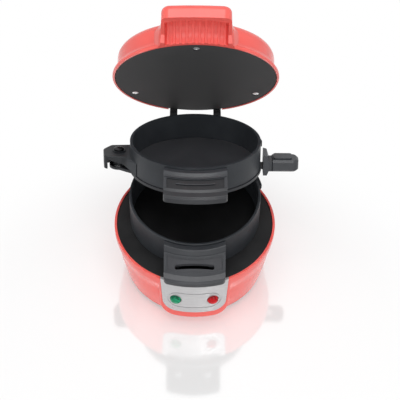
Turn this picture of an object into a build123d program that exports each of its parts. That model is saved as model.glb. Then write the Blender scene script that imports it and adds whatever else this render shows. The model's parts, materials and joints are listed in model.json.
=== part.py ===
from build123d import *
import os
from math import asin, cos, degrees, radians, sin, sqrt

# Breakfast sandwich maker. Millimetres. X is to the right, -Y is the front, Z is up.
# The origin is on the axis of the round base, in the plane that the feet rest on.
# Every piece is drawn in the closed position, and the raised pieces are then
# turned about the hinge pin to the position in which the object stands.

# ---------------------------------------------------------------- standing position
upper_ring_raise = 21.5
lid_raise = 67.3

# ---------------------------------------------------------------- clearances
run_gap = 0.08
pin_gap = 0.05
slip_gap = 0.2
shank_gap = 0.1
lower_rest_gap = 0.3
swing_gap = 0.4
upper_rest_gap = 0.5
lid_rest_gap = 0.4
wall_gap = 0.3

# ---------------------------------------------------------------- stack of heights
foot_height = 3.0
base_plate_top = 57.0
heated_plate_thick = 2.4
lower_ring_height = 28.5
swing_plate_thick = 2.4
upper_ring_height = 22.6
lid_height = 28.2
base_plate_under = base_plate_top - heated_plate_thick
lower_ring_z = base_plate_top + lower_rest_gap
lower_ring_top = lower_ring_z + lower_ring_height
swing_z = lower_ring_top + swing_gap
swing_top = swing_z + swing_plate_thick
upper_ring_z = swing_top + upper_rest_gap
upper_ring_top = upper_ring_z + upper_ring_height
lid_plate_z = upper_ring_top + lid_rest_gap
lid_plate_top = lid_plate_z + heated_plate_thick
lid_top_z = lid_plate_z + lid_height

# ---------------------------------------------------------------- base bowl
base_plate_radius = 70.0
rim_width = 2.3
neck_in = 3.5
bowl_bottom_radius = 62.6
bowl_rim_radius = base_plate_radius + rim_width
bowl_neck_radius = bowl_rim_radius - neck_in
bowl_wall = 2.5
bowl_bulge = 0.5
rim_lip = 0.6
rim_band = 2.6
rim_flare = 19.0
rim_top_z = base_plate_top + rim_lip
neck_z = rim_top_z - rim_band - rim_flare
ledge_width = 2.8
ledge_depth = 3.0
post_radius = 4.2
post_top_z = 26.0
foot_radius = 7.0
foot_socket_depth = 1.2
foot_at = 46.0
post_at = bowl_bottom_radius - bowl_wall - post_radius + 1.2
vent_length = 26.0
vent_width = 3.0
vent_pitch = 8.0
vent_count = 5
cover_thick = 2.4
gland_z = 12.0
gland_radius = 6.0
gland_flange_radius = 8.0
gland_flange = 1.6
gland_bore = 3.45
gland_length = 9.0
gland_face_y = bowl_bottom_radius + 2.6
base_plate_fix_angles = (30, 150, 270)

# ---------------------------------------------------------------- control panel
visor_half_top = 31.9
visor_half_bottom = 29.6
visor_bottom_z = 9.0
visor_corner = 13.0
visor_soft = 2.2
panel_margin = 2.0
panel_bottom_z = 17.2
panel_corner = 11.5
panel_thick = 2.2
panel_fit = 0.15
lamp_spread = 16.4
lamp_z = 33.9
lens_radius = 5.0
lens_height = 3.0
lens_facets = 12
lamp_hole_gap = 0.3
lamp_body_radius = 3.4
lamp_body_length = 15.0
lens_seat_depth = panel_thick + 4.0
lamp_bore_depth = lens_seat_depth + lamp_body_length + 1.0
race_half_width = 23.8
race_height = 20.5
race_groove = 0.9
race_depth = 0.45

# ---------------------------------------------------------------- rings
ring_centre_y = 7.6
lower_ring_radius = 58.4
upper_ring_radius = 57.2
ring_wall = 2.4
swing_plate_radius = 58.0
rib_angles = (11.0, 30.0)
rib_out = 2.5
rib_depth = 6.0
rib_drop = 0.3
catch_angles = (9.4, 16.0)
catch_out = 2.4
catch_below = 12.0

# ---------------------------------------------------------------- ring handles
handle_half_width = 26.7
handle_reach = 26.2
handle_lift = 2.4
handle_wall = 2.0
handle_corner = 4.5
handle_recess = 0.7
handle_rail = 2.6
lower_collar_drop = 7.8
upper_collar_drop = 5.4
slot_half_width = 17.2
slot_width = 3.4
slot_out = 11.4
bead_share = (-0.04, 0.10)
bead_rise = 0.7
panel_share = (0.16, 0.96)
mid_rib_share = (0.50, 0.58)
mid_rib_rise = 0.2
mid_rib_half_width = 16.3
tab_angles = (-90 - 13.5, -90 + 13.5)
tab_out = 5.6
tab_lift = 6.2
tab_thick = 2.4
tab_half_width = 4.2
screw_radius = 1.5
screw_head_radius = 2.9
screw_head_height = 1.6
screw_length = 9.0

# ---------------------------------------------------------------- hinge
hinge_y = bowl_rim_radius + 0.7
hinge_z = base_plate_top + 8.0
pin_radius = 2.5
knuckle_radius = 5.5
side_gap = 1.0
hook_half_width = 9.0
ring_arm_width = 6.0
lid_arm_width = 7.0
ear_width = 8.0
ear_radius = 6.0
arm_bore = pin_radius + run_gap
clip_thick = 1.0
clip_radius = 4.4
groove_depth = 0.5
pin_overhang = 3.0
ring_arm_in = hook_half_width + side_gap
ring_arm_out = ring_arm_in + ring_arm_width
lid_arm_in = ring_arm_out + side_gap
lid_arm_out = lid_arm_in + lid_arm_width
ear_in = lid_arm_out + side_gap
ear_out = ear_in + ear_width
tower_bottom_z = 20.0
tower_depth = 8.0
hinge_axis = Axis((0, hinge_y, hinge_z), (-1, 0, 0))

# ---------------------------------------------------------------- swing plate pivot
pivot_reach = 67.0
pivot_radius = 2.4
pivot_head_radius = 4.4
pivot_head_height = 2.4
nut_thick = 2.0
swing_lug_radius = 8.6
lug_height = 12.0
lug_wall = 2.6
stop_gap = 0.9
stop_out = 11.8
stop_back = 7.4
stop_length = 9.0
skirt_in = 6.5
skirt_tip = 9.6
skirt_left = 3.2
skirt_run = 12.0
pivot = (-pivot_reach, ring_centre_y)
lug_top_z = upper_ring_z + lug_height

# ---------------------------------------------------------------- swing plate handle
grip_half_depth = 8.1
guard_gap = 1.1
guard_thick = 3.3
guard_rise = 11.4
guard_drop = 5.2
grip_length = 27.8
grip_rise = 7.1
grip_drop = 1.5
tang_half_width = 5.0
tang_length = 18.0

# ---------------------------------------------------------------- lid
lid_centre_y = 3.0
lid_plate_radius = 72.3
lid_flare_radius = 74.5
lid_wall_radius = 70.3
lid_wall = 2.5
lid_rim_drop = 0.3
lid_flare_height = 9.2
lid_shoulder = 8.0
lid_dome = 2.6
lid_screw_radius_at = 63.8
lid_handle_half_width = 29.2
lid_handle_foot_half_width = 36.8
lid_handle_front_y = -104.0
lid_handle_top_z = 133.2
lid_handle_soft = 5.0
lid_handle_corner = 7.5
lid_handle_bow = 1.6
scoop_rail = 2.4
scoop_gap = 1.0
scoop_rise = 12.2
scoop_corner = 4.0
lip_thick = 6.4
grip_rib_count = 10
grip_rib_radius = 1.3

os.makedirs("parts", exist_ok=True)

ring_axis = Axis((0, ring_centre_y, 0), (0, 0, 1))
lid_axis = Axis((0, lid_centre_y, 0), (0, 0, 1))


def keep(piece, name, raise_angle=0.0):
    """Turns a piece about the hinge pin, names it and writes it."""
    if raise_angle:
        piece = piece.rotate(hinge_axis, raise_angle)
    piece.label = name
    export_step(piece, "parts/" + name + ".step")
    return piece


def on_circle(radius, angle, centre_y=0.0):
    """A point on a circle whose centre is on the Y axis."""
    return (radius * cos(radians(angle)), centre_y + radius * sin(radians(angle)))


def radial_plane(angle, centre_y):
    """Upright plane through a ring or lid axis: radius to the right, height up."""
    turn = radians(angle)
    return Plane(
        origin=(0, centre_y, 0),
        x_dir=(cos(turn), sin(turn), 0),
        z_dir=(sin(turn), -cos(turn), 0),
    )


ring_section = radial_plane(0, ring_centre_y)
lid_section = radial_plane(0, lid_centre_y)


def ring_front_y(radius, x):
    """Y of the front of a ring-centred circle, at a distance x from the middle."""
    return ring_centre_y - sqrt(radius * radius - x * x)


# ================================================================ base
# The bowl is drawn as the outline of its outer face; the inner face is the same
# outline moved in by the wall.
def bowl_outline(inset, from_z):
    """Foot-to-rim outline of the bowl, moved in by inset."""
    bottom = (bowl_bottom_radius - inset, from_z)
    neck = (bowl_neck_radius - inset, neck_z)
    band = (bowl_rim_radius - inset, rim_top_z - rim_band)
    SagittaArc(bottom, neck, -bowl_bulge)
    Spline(neck, band, tangents=((0.126, 1), (0, 1)))
    Line(band, (bowl_rim_radius - inset, rim_top_z))


with BuildPart() as bowl_core:
    with BuildSketch(Plane.XZ):
        with BuildLine():
            bowl_outline(bowl_wall, foot_height)
            Polyline(
                (bowl_rim_radius - bowl_wall, rim_top_z),
                (0, rim_top_z),
                (0, foot_height),
                (bowl_bottom_radius - bowl_wall, foot_height),
            )
        make_face()
    revolve(axis=Axis.Z)

# Front of the bowl: a shield-shaped visor that stays upright while the bowl
# tapers away under it, with a recess for the control panel.
def shield(half_top, half_bottom, bottom_z, corner, top_z):
    """Shield outline: wider at the top, with two rounded corners below."""
    Polygon(
        (-half_top, top_z),
        (-half_bottom, bottom_z),
        (half_bottom, bottom_z),
        (half_top, top_z),
        align=None,
    )
    fillet(vertices().group_by(Axis.Y)[0], corner)


with BuildPart() as visor:
    with BuildSketch(Plane.XZ):
        shield(visor_half_top, visor_half_bottom, visor_bottom_z, visor_corner, rim_top_z)
    extrude(amount=bowl_rim_radius + 5)
    with BuildSketch(Plane.XY):
        Circle(bowl_rim_radius)
    extrude(amount=rim_top_z, mode=Mode.INTERSECT)
    front = faces().filter_by(GeomType.CYLINDER).sort_by(SortBy.AREA)[-1]
    low_edges = front.edges().filter_by(lambda e: e.center().Z < rim_top_z - 0.5)
    fillet(low_edges.filter_by(lambda e: e.center().Z < panel_bottom_z), visor_soft)

with BuildPart() as panel_pocket:
    with BuildSketch(Plane.XZ):
        shield(
            visor_half_top - panel_margin,
            visor_half_bottom - panel_margin,
            panel_bottom_z,
            panel_corner,
            rim_top_z + 1,
        )
    extrude(amount=bowl_rim_radius + 5)
    with BuildSketch(Plane.XY):
        Circle(bowl_rim_radius - panel_thick)
    extrude(amount=rim_top_z + 1, mode=Mode.SUBTRACT)

lamp_angle = degrees(asin(lamp_spread / bowl_rim_radius))
lamp_planes = []
for side in (-1, 1):
    out = (side * sin(radians(lamp_angle)), -cos(radians(lamp_angle)), 0)
    at = (bowl_rim_radius * out[0], bowl_rim_radius * out[1], lamp_z)
    lamp_planes.append(Plane(origin=at, x_dir=(0, 0, 1), z_dir=out))

# Cord gland at the back, under the hinge bracket.
ledge_z = base_plate_under - ledge_depth

tower_screw_x = 29.0
tower_screw_z = (27.0, 49.0)
tower_screw_length = 15.0
tower_seat_y = bowl_rim_radius - 0.3

with BuildPart() as tower_bosses:
    with BuildSketch(Plane.XZ.offset(-tower_seat_y + tower_screw_length + 3)):
        for z in tower_screw_z:
            with Locations((-tower_screw_x, z), (tower_screw_x, z)):
                Circle(4.0)
    extrude(amount=-tower_screw_length)
    with BuildSketch(Plane.XZ):
        with BuildLine():
            bowl_outline(bowl_wall / 2, foot_height)
            Polyline(
                (bowl_rim_radius - bowl_wall / 2, rim_top_z),
                (0, rim_top_z),
                (0, foot_height),
                (bowl_bottom_radius - bowl_wall / 2, foot_height),
            )
        make_face()
    revolve(axis=Axis.Z, mode=Mode.INTERSECT)

with BuildPart() as base_housing:
    with BuildSketch(Plane.XZ):
        with BuildLine():
            bowl_outline(0, foot_height)
            Polyline(
                (bowl_rim_radius, rim_top_z),
                (0, rim_top_z),
                (0, foot_height),
                (bowl_bottom_radius, foot_height),
            )
        make_face()
    revolve(axis=Axis.Z)
    fillet(edges().filter_by(GeomType.CIRCLE).sort_by(Axis.Z)[-1], 0.7)
    fillet(edges().filter_by(GeomType.CIRCLE).sort_by(Axis.Z)[0], 1.6)
    add(visor.part)
    add(bowl_core.part, mode=Mode.SUBTRACT)
    add(tower_bosses.part)
    # seat of the heated plate, open in the middle
    with BuildSketch(Plane.XY.offset(ledge_z)):
        Circle(bowl_rim_radius - 0.4)
        Circle(base_plate_radius - ledge_width, mode=Mode.SUBTRACT)
    extrude(amount=ledge_depth)
    with BuildSketch(Plane.XY.offset(base_plate_under)):
        Circle(base_plate_radius + slip_gap)
    extrude(amount=rim_top_z - base_plate_under + 1, mode=Mode.SUBTRACT)
    # pillars for the bottom cover, against the wall
    with BuildSketch(Plane.XY.offset(foot_height + cover_thick)):
        with PolarLocations(post_at, 4, 45):
            Circle(post_radius)
    extrude(amount=post_top_z - foot_height - cover_thick)
    # lugs under the seat that take the screws of the heated plate
    for angle in base_plate_fix_angles:
        with BuildSketch(Plane.XY.offset(ledge_z)):
            with Locations(on_circle(base_plate_radius - 7.5, angle)):
                Circle(5.0)
            with Locations(Location(on_circle(base_plate_radius - 3.5, angle), angle)):
                Rectangle(8.0, 10.0)
        extrude(amount=ledge_depth)
        with BuildSketch(Plane.XY.offset(ledge_z - 1)):
            with Locations(on_circle(base_plate_radius - 8.0, angle)):
                Circle(screw_radius + shank_gap)
        extrude(amount=ledge_depth + 2, mode=Mode.SUBTRACT)
    # pocket and lamp holes of the control panel
    add(panel_pocket.part, mode=Mode.SUBTRACT)
    for plane in lamp_planes:
        with BuildSketch(plane.offset(-lamp_bore_depth)):
            Circle(lens_radius + lamp_hole_gap)
        extrude(amount=lamp_bore_depth, mode=Mode.SUBTRACT)
    # hole of the cord gland
    with BuildSketch(Plane.XZ.offset(-gland_face_y - 4)):
        with Locations((0, gland_z)):
            Circle(gland_radius + shank_gap)
    extrude(amount=14, mode=Mode.SUBTRACT)
    with BuildSketch(Plane.XZ.offset(-gland_face_y - 4)):
        with Locations((0, gland_z)):
            Circle(gland_flange_radius + shank_gap)
    extrude(amount=4 + gland_flange, mode=Mode.SUBTRACT)
    # screw holes under the pillars and behind the hinge bracket
    with BuildSketch(Plane.XY.offset(foot_height + cover_thick)):
        with PolarLocations(post_at, 4, 45):
            Circle(screw_radius + shank_gap)
    extrude(amount=12, mode=Mode.SUBTRACT)
    for z in tower_screw_z:
        with BuildSketch(Plane.XZ.offset(-bowl_rim_radius - 2)):
            with Locations((-tower_screw_x, z), (tower_screw_x, z)):
                Circle(screw_radius + shank_gap)
        extrude(amount=20, mode=Mode.SUBTRACT)
keep(base_housing.part, "base_housing")


# Black cover that closes the bottom of the bowl, with four screwed-in corners
# and sockets for the feet.

with BuildPart() as bottom_cover:
    with BuildSketch(Plane.XY.offset(foot_height)):
        Circle(bowl_bottom_radius - bowl_wall - slip_gap)
    extrude(amount=cover_thick)
    fillet(edges().group_by(Axis.Z)[0], 0.6)
    with BuildSketch(Plane.XY.offset(foot_height + foot_socket_depth)):
        with PolarLocations(foot_at, 4):
            Circle(foot_radius + 2.0)
    extrude(amount=cover_thick)
    with BuildSketch(Plane.XY.offset(foot_height)):
        with PolarLocations(foot_at, 4):
            Circle(foot_radius + shank_gap)
    extrude(amount=foot_socket_depth, mode=Mode.SUBTRACT)
    with BuildSketch(Plane.XY.offset(foot_height)):
        with GridLocations(0, vent_pitch, 1, vent_count):
            SlotOverall(vent_length, vent_width)
        with PolarLocations(post_at, 4, 45):
            Circle(screw_radius + shank_gap)
    extrude(amount=cover_thick + 1, mode=Mode.SUBTRACT)
keep(bottom_cover.part, "bottom_cover")

with BuildPart() as rubber_feet:
    with BuildSketch(Plane.XY):
        with PolarLocations(foot_at, 4):
            Circle(foot_radius)
    extrude(amount=foot_height + foot_socket_depth)
    chamfer(edges().group_by(Axis.Z)[0], 1.0)
keep(rubber_feet.part, "rubber_feet")

with BuildPart() as cover_screws:
    with BuildSketch(Plane.XY.offset(foot_height - screw_head_height)):
        with PolarLocations(post_at, 4, 45):
            Circle(screw_head_radius)
    extrude(amount=screw_head_height)
    with BuildSketch(Plane.XY.offset(foot_height)):
        with PolarLocations(post_at, 4, 45):
            Circle(screw_radius)
    extrude(amount=screw_length)
keep(cover_screws.part, "cover_screws")

# Grommet of the cord opening.
with BuildPart() as cord_gland:
    with BuildSketch(Plane.XZ.offset(-gland_face_y)):
        with Locations((0, gland_z)):
            Circle(gland_radius)
    extrude(amount=gland_length)
    with BuildSketch(Plane.XZ.offset(-gland_face_y)):
        with Locations((0, gland_z)):
            Circle(gland_flange_radius)
    extrude(amount=gland_flange)
    fillet(faces().sort_by(Axis.Y)[-1].edges(), 0.5)
    with BuildSketch(Plane.XZ.offset(-gland_face_y - 1)):
        with Locations((0, gland_z)):
            Circle(gland_bore)
    extrude(amount=gland_length + 2, mode=Mode.SUBTRACT)
keep(cord_gland.part, "cord_gland")


# ---------------------------------------------------------------- heated plates
element_radius = 3.1
element_at = 40.0
element_sweep = 320.0
element_end_drop = 9.0
clamp_thick = 0.8
clamp_in = 24.0
clamp_out = 51.0
clamp_boss_radius = 3.6
clamp_boss_at = 29.0
boss_height = 3.0
fuse_radius = 2.1
fuse_length = 24.0
fuse_at = 17.0
thermostat_radius = 8.5
thermostat_height = 7.0


def heating_element(under_z, centre_y, down):
    """Tubular element in a C, with both ends bent away from the plate."""
    tube_z = under_z + down * (element_radius + shank_gap)
    centre = (0, centre_y, tube_z)
    gap = (360.0 - element_sweep) / 2
    start = (element_at * cos(radians(90 + gap)), element_at * sin(radians(90 + gap)))
    with BuildPart() as element:
        with BuildSketch(
            Plane(
                origin=(start[0], centre_y + start[1], tube_z),
                x_dir=(0, 0, 1),
                z_dir=(-sin(radians(90 + gap)), cos(radians(90 + gap)), 0),
            )
        ):
            Circle(element_radius)
        revolve(axis=Axis(centre, (0, 0, 1)), revolution_arc=element_sweep)
        for side in (-1, 1):
            end = (side * abs(start[0]), centre_y + start[1], tube_z)
            with Locations(end):
                Sphere(element_radius)
            with BuildSketch(Plane(origin=end, x_dir=(1, 0, 0), z_dir=(0, 0, down))):
                Circle(element_radius)
            extrude(amount=element_end_drop)
            with BuildSketch(
                Plane(
                    origin=(end[0], end[1], tube_z + down * element_end_drop),
                    x_dir=(1, 0, 0),
                    z_dir=(0, 0, down),
                )
            ):
                Rectangle(1.0, 4.0)
            extrude(amount=7.0)
    return element.part


def heater_clamp(under_z, centre_y, down):
    """Pressed steel ring whose channel holds the element against the plate."""
    section = Plane(origin=(0, centre_y, under_z), x_dir=(1, 0, 0), z_dir=(0, -1, 0))
    reach = 2 * element_radius + 2 * shank_gap
    half = element_radius + 0.4
    with BuildPart() as clamp:
        with BuildSketch(section):
            Polygon(
                (clamp_in, down * boss_height),
                (element_at - half - 1.5, down * boss_height),
                (element_at - half, down * reach),
                (element_at + half, down * reach),
                (element_at + half + 1.5, down * boss_height),
                (clamp_out, down * boss_height),
                (clamp_out, down * (boss_height + clamp_thick)),
                (element_at + half + 1.5 + clamp_thick, down * (boss_height + clamp_thick)),
                (element_at + half + clamp_thick, down * (reach + clamp_thick)),
                (element_at - half - clamp_thick, down * (reach + clamp_thick)),
                (element_at - half - 1.5 - clamp_thick, down * (boss_height + clamp_thick)),
                (clamp_in, down * (boss_height + clamp_thick)),
                align=None,
            )
        revolve(axis=Axis((0, centre_y, 0), (0, 0, 1)))
        with BuildSketch(Plane.XY.offset(under_z)):
            with Locations((0, centre_y)):
                with PolarLocations(clamp_boss_at, 3, 30):
                    Circle(screw_radius + shank_gap)
            with Locations((0, centre_y + element_at)):
                Rectangle(2 * element_at * sin(radians(30)), 26.0)
        extrude(amount=down * 20, mode=Mode.SUBTRACT)
    return clamp.part


def clamp_screws(under_z, centre_y, down):
    """Three screws through the clamp ring into the bosses of the plate."""
    seat = under_z + down * (boss_height + clamp_thick)
    with BuildPart() as screws:
        with BuildSketch(Plane.XY.offset(seat)):
            with Locations((0, centre_y)):
                with PolarLocations(clamp_boss_at, 3, 30):
                    Circle(screw_head_radius)
        extrude(amount=down * screw_head_height)
        with BuildSketch(Plane.XY.offset(seat)):
            with Locations((0, centre_y)):
                with PolarLocations(clamp_boss_at, 3, 30):
                    Circle(screw_radius)
        extrude(amount=-down * (clamp_thick + boss_height))
    return screws.part


with BuildPart() as bottom_plate:
    with BuildSketch(Plane.XY.offset(base_plate_under)):
        Circle(base_plate_radius)
    extrude(amount=heated_plate_thick)
    fillet(edges().group_by(Axis.Z)[-1], 0.8)
    with BuildSketch(Plane.XY.offset(base_plate_under)):
        with PolarLocations(clamp_boss_at, 3, 30):
            Circle(clamp_boss_radius)
    extrude(amount=-boss_height)
    with BuildSketch(Plane.XY.offset(base_plate_under)):
        with PolarLocations(clamp_boss_at, 3, 30):
            Circle(screw_radius + shank_gap)
        with PolarLocations(base_plate_radius - 8.0, 3, base_plate_fix_angles[0]):
            Circle(screw_radius + shank_gap)
    extrude(amount=-boss_height, mode=Mode.SUBTRACT)
    with BuildSketch(Plane.XY.offset(base_plate_under)):
        with PolarLocations(base_plate_radius - 8.0, 3, base_plate_fix_angles[0]):
            Circle(screw_radius + shank_gap)
    extrude(amount=heated_plate_thick - 1.0, mode=Mode.SUBTRACT)
keep(bottom_plate.part, "bottom_plate")

keep(heating_element(base_plate_under, 0, -1), "bottom_heating_element")
keep(heater_clamp(base_plate_under, 0, -1), "bottom_heater_clamp")
keep(clamp_screws(base_plate_under, 0, -1), "bottom_clamp_screws")

with BuildPart() as plate_screws:
    for angle in base_plate_fix_angles:
        at = on_circle(base_plate_radius - 8.0, angle)
        with BuildSketch(Plane.XY.offset(ledge_z - screw_head_height)):
            with Locations(at):
                Circle(screw_head_radius)
        extrude(amount=screw_head_height)
        with BuildSketch(Plane.XY.offset(ledge_z)):
            with Locations(at):
                Circle(screw_radius)
        extrude(amount=ledge_depth + heated_plate_thick - 1.2)
keep(plate_screws.part, "bottom_plate_screws")

# Thermostat and thermal fuse, both held against the underside of the plate.
with BuildPart() as thermostat:
    with BuildSketch(Plane.XY.offset(base_plate_under - 1.0)):
        SlotOverall(2 * thermostat_radius + 15, 8.0)
    extrude(amount=1.0)
    with BuildSketch(Plane.XY.offset(base_plate_under - thermostat_height)):
        Circle(thermostat_radius)
    extrude(amount=thermostat_height)
    with BuildSketch(Plane.XY.offset(base_plate_under - thermostat_height - 6.0)):
        with Locations((-4.5, 0), (4.5, 0)):
            Rectangle(0.8, 4.8)
    extrude(amount=6.0)
keep(thermostat.part, "thermostat")

fuse_z = base_plate_under - fuse_radius - shank_gap
with BuildPart() as thermal_fuse:
    with BuildSketch(Plane.YZ.offset(-fuse_length / 2)):
        with Locations((fuse_at, fuse_z)):
            Circle(fuse_radius)
    extrude(amount=fuse_length)
    with BuildSketch(Plane.YZ.offset(-fuse_length / 2 - 6)):
        with Locations((fuse_at, fuse_z)):
            Circle(0.6)
    extrude(amount=fuse_length + 12)
keep(thermal_fuse.part, "thermal_fuse")

clip_half = fuse_radius + shank_gap
clip_sheet = 0.8
clip_flange = 5.0
with BuildPart() as fuse_clip:
    with BuildSketch(Plane.YZ.offset(-3)):
        with Locations((fuse_at, fuse_z)):
            Circle(clip_half + clip_sheet)
        with Locations((fuse_at, (fuse_z + base_plate_under) / 2)):
            Rectangle(2 * (clip_half + clip_sheet), base_plate_under - fuse_z)
        with Locations((fuse_at, base_plate_under - clip_sheet / 2)):
            Rectangle(2 * (clip_half + clip_flange), clip_sheet)
        with Locations((fuse_at, fuse_z)):
            Circle(clip_half, mode=Mode.SUBTRACT)
        with Locations((fuse_at, (fuse_z + base_plate_under) / 2 + 5)):
            Rectangle(2 * clip_half, base_plate_under - fuse_z + 10, mode=Mode.SUBTRACT)
        with Locations((fuse_at, base_plate_under + 5)):
            Rectangle(20, 10, mode=Mode.SUBTRACT)
    extrude(amount=6)
keep(fuse_clip.part, "fuse_clip")

# Terminal block on a raised pad inside the bottom cover.
block_size = (26.0, 12.0, 11.0)
block_y = 30.0
with BuildPart() as terminal_block:
    with BuildSketch(Plane.XY.offset(foot_height + cover_thick)):
        with Locations((0, block_y)):
            Rectangle(block_size[0], block_size[1])
    extrude(amount=block_size[2])
    fillet(edges().filter_by(Axis.Z), 1.0)
    with BuildSketch(Plane.XY.offset(foot_height + cover_thick + block_size[2])):
        with Locations((0, block_y)):
            with GridLocations(8.0, 6.0, 3, 2):
                Circle(1.9)
    extrude(amount=-4.0, mode=Mode.SUBTRACT)
keep(terminal_block.part, "terminal_block")

# ---------------------------------------------------------------- control panel
with BuildPart() as panel_blank:
    with BuildSketch(Plane.XZ):
        shield(
            visor_half_top - panel_margin - panel_fit,
            visor_half_bottom - panel_margin - panel_fit,
            panel_bottom_z + panel_fit,
            panel_corner - panel_fit,
            rim_top_z,
        )
    extrude(amount=bowl_rim_radius + 5)
    with BuildSketch(Plane.XY):
        Circle(bowl_rim_radius)
    extrude(amount=rim_top_z, mode=Mode.INTERSECT)
    with BuildSketch(Plane.XY):
        Circle(bowl_rim_radius - panel_thick + panel_fit)
    extrude(amount=rim_top_z, mode=Mode.SUBTRACT)
    for plane in lamp_planes:
        with BuildSketch(plane.offset(-6)):
            Circle(lens_radius + lamp_hole_gap)
        extrude(amount=12, mode=Mode.SUBTRACT)
# fine channel that rings both lamps
with BuildPart() as race_channel:
    with BuildSketch(Plane.XZ):
        with Locations((0, lamp_z)):
            SlotOverall(2 * race_half_width, race_height)
            SlotOverall(
                2 * (race_half_width - race_groove),
                race_height - 2 * race_groove,
                mode=Mode.SUBTRACT,
            )
    extrude(amount=bowl_rim_radius + 5)
    with BuildSketch(Plane.XY):
        Circle(bowl_rim_radius - race_depth)
    extrude(amount=rim_top_z, mode=Mode.SUBTRACT)
with BuildPart() as control_panel:
    add(panel_blank.part)
    add(race_channel.part, mode=Mode.SUBTRACT)
keep(control_panel.part, "control_panel")


def jewel_lens(plane):
    """Faceted lens with a round skirt, seated in the panel."""
    with BuildPart() as lens:
        with BuildSketch(plane.offset(-lens_seat_depth)):
            Circle(lens_radius)
        extrude(amount=lens_seat_depth + 0.4)
        with BuildSketch(plane.offset(0.4)):
            RegularPolygon(lens_radius * 0.97, lens_facets)
        extrude(amount=lens_height * 0.5, taper=28)
        top = faces().sort_by(Axis((0, 0, 0), plane.z_dir))[-1]
        extrude(top, amount=lens_height * 0.35, taper=58)
    return lens.part


keep(jewel_lens(lamp_planes[0]), "green_light_lens")
keep(jewel_lens(lamp_planes[1]), "red_light_lens")

with BuildPart() as lamp_bodies:
    for plane in lamp_planes:
        with BuildSketch(plane.offset(-lens_seat_depth - lamp_body_length)):
            Circle(lamp_body_radius)
        extrude(amount=lamp_body_length)
        with BuildSketch(plane.offset(-lens_seat_depth - lamp_body_length)):
            Circle(lamp_body_radius + 1.0)
        extrude(amount=2.4)
keep(lamp_bodies.part, "lamp_holders")

# ================================================================ ring handles
def handle_points(radius, base_z, height, collar_drop, shift):
    """Collar, sloping face and lip of a ring handle, moved in by shift."""
    reach = handle_reach
    corners = (
        (0.3, height - 1.9),
        (4.8, height - 2.2),
        (0.28 * reach, height - collar_drop),
        (0.71 * reach, 11.8),
        (0.775 * reach, 10.0),
        (0.945 * reach, 8.2),
        (reach, 6.0),
        (reach, handle_lift),
    )
    return [(radius + out - shift, base_z + up - shift) for out, up in corners]


def slope_band(radius, base_z, height, collar_drop, start, stop, low, high):
    """Section of a band along the sloping face, between two shares of its length."""
    points = handle_points(radius, base_z, height, collar_drop, 0)
    (out_a, up_a), (out_b, up_b) = points[2], points[3]
    run, fall = out_b - out_a, up_b - up_a
    length = sqrt(run * run + fall * fall)
    corners = []
    for share, lift in ((start, low), (stop, low), (stop, high), (start, high)):
        corners.append(
            (
                out_a + share * run - lift * fall / length,
                up_a + share * fall + lift * run / length,
            )
        )
    return corners


def relief(bands, half_width):
    """Bands of a ring handle's sloping face, cut to one width."""
    with BuildPart() as raised:
        for corners in bands:
            with BuildSketch(ring_section):
                Polygon(*corners, align=None)
            revolve(axis=ring_axis)
        with BuildSketch(Plane.XY):
            with Locations((0, -100)):
                Rectangle(2 * half_width, 200)
        extrude(amount=lid_top_z, mode=Mode.INTERSECT)
    return raised.part


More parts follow.
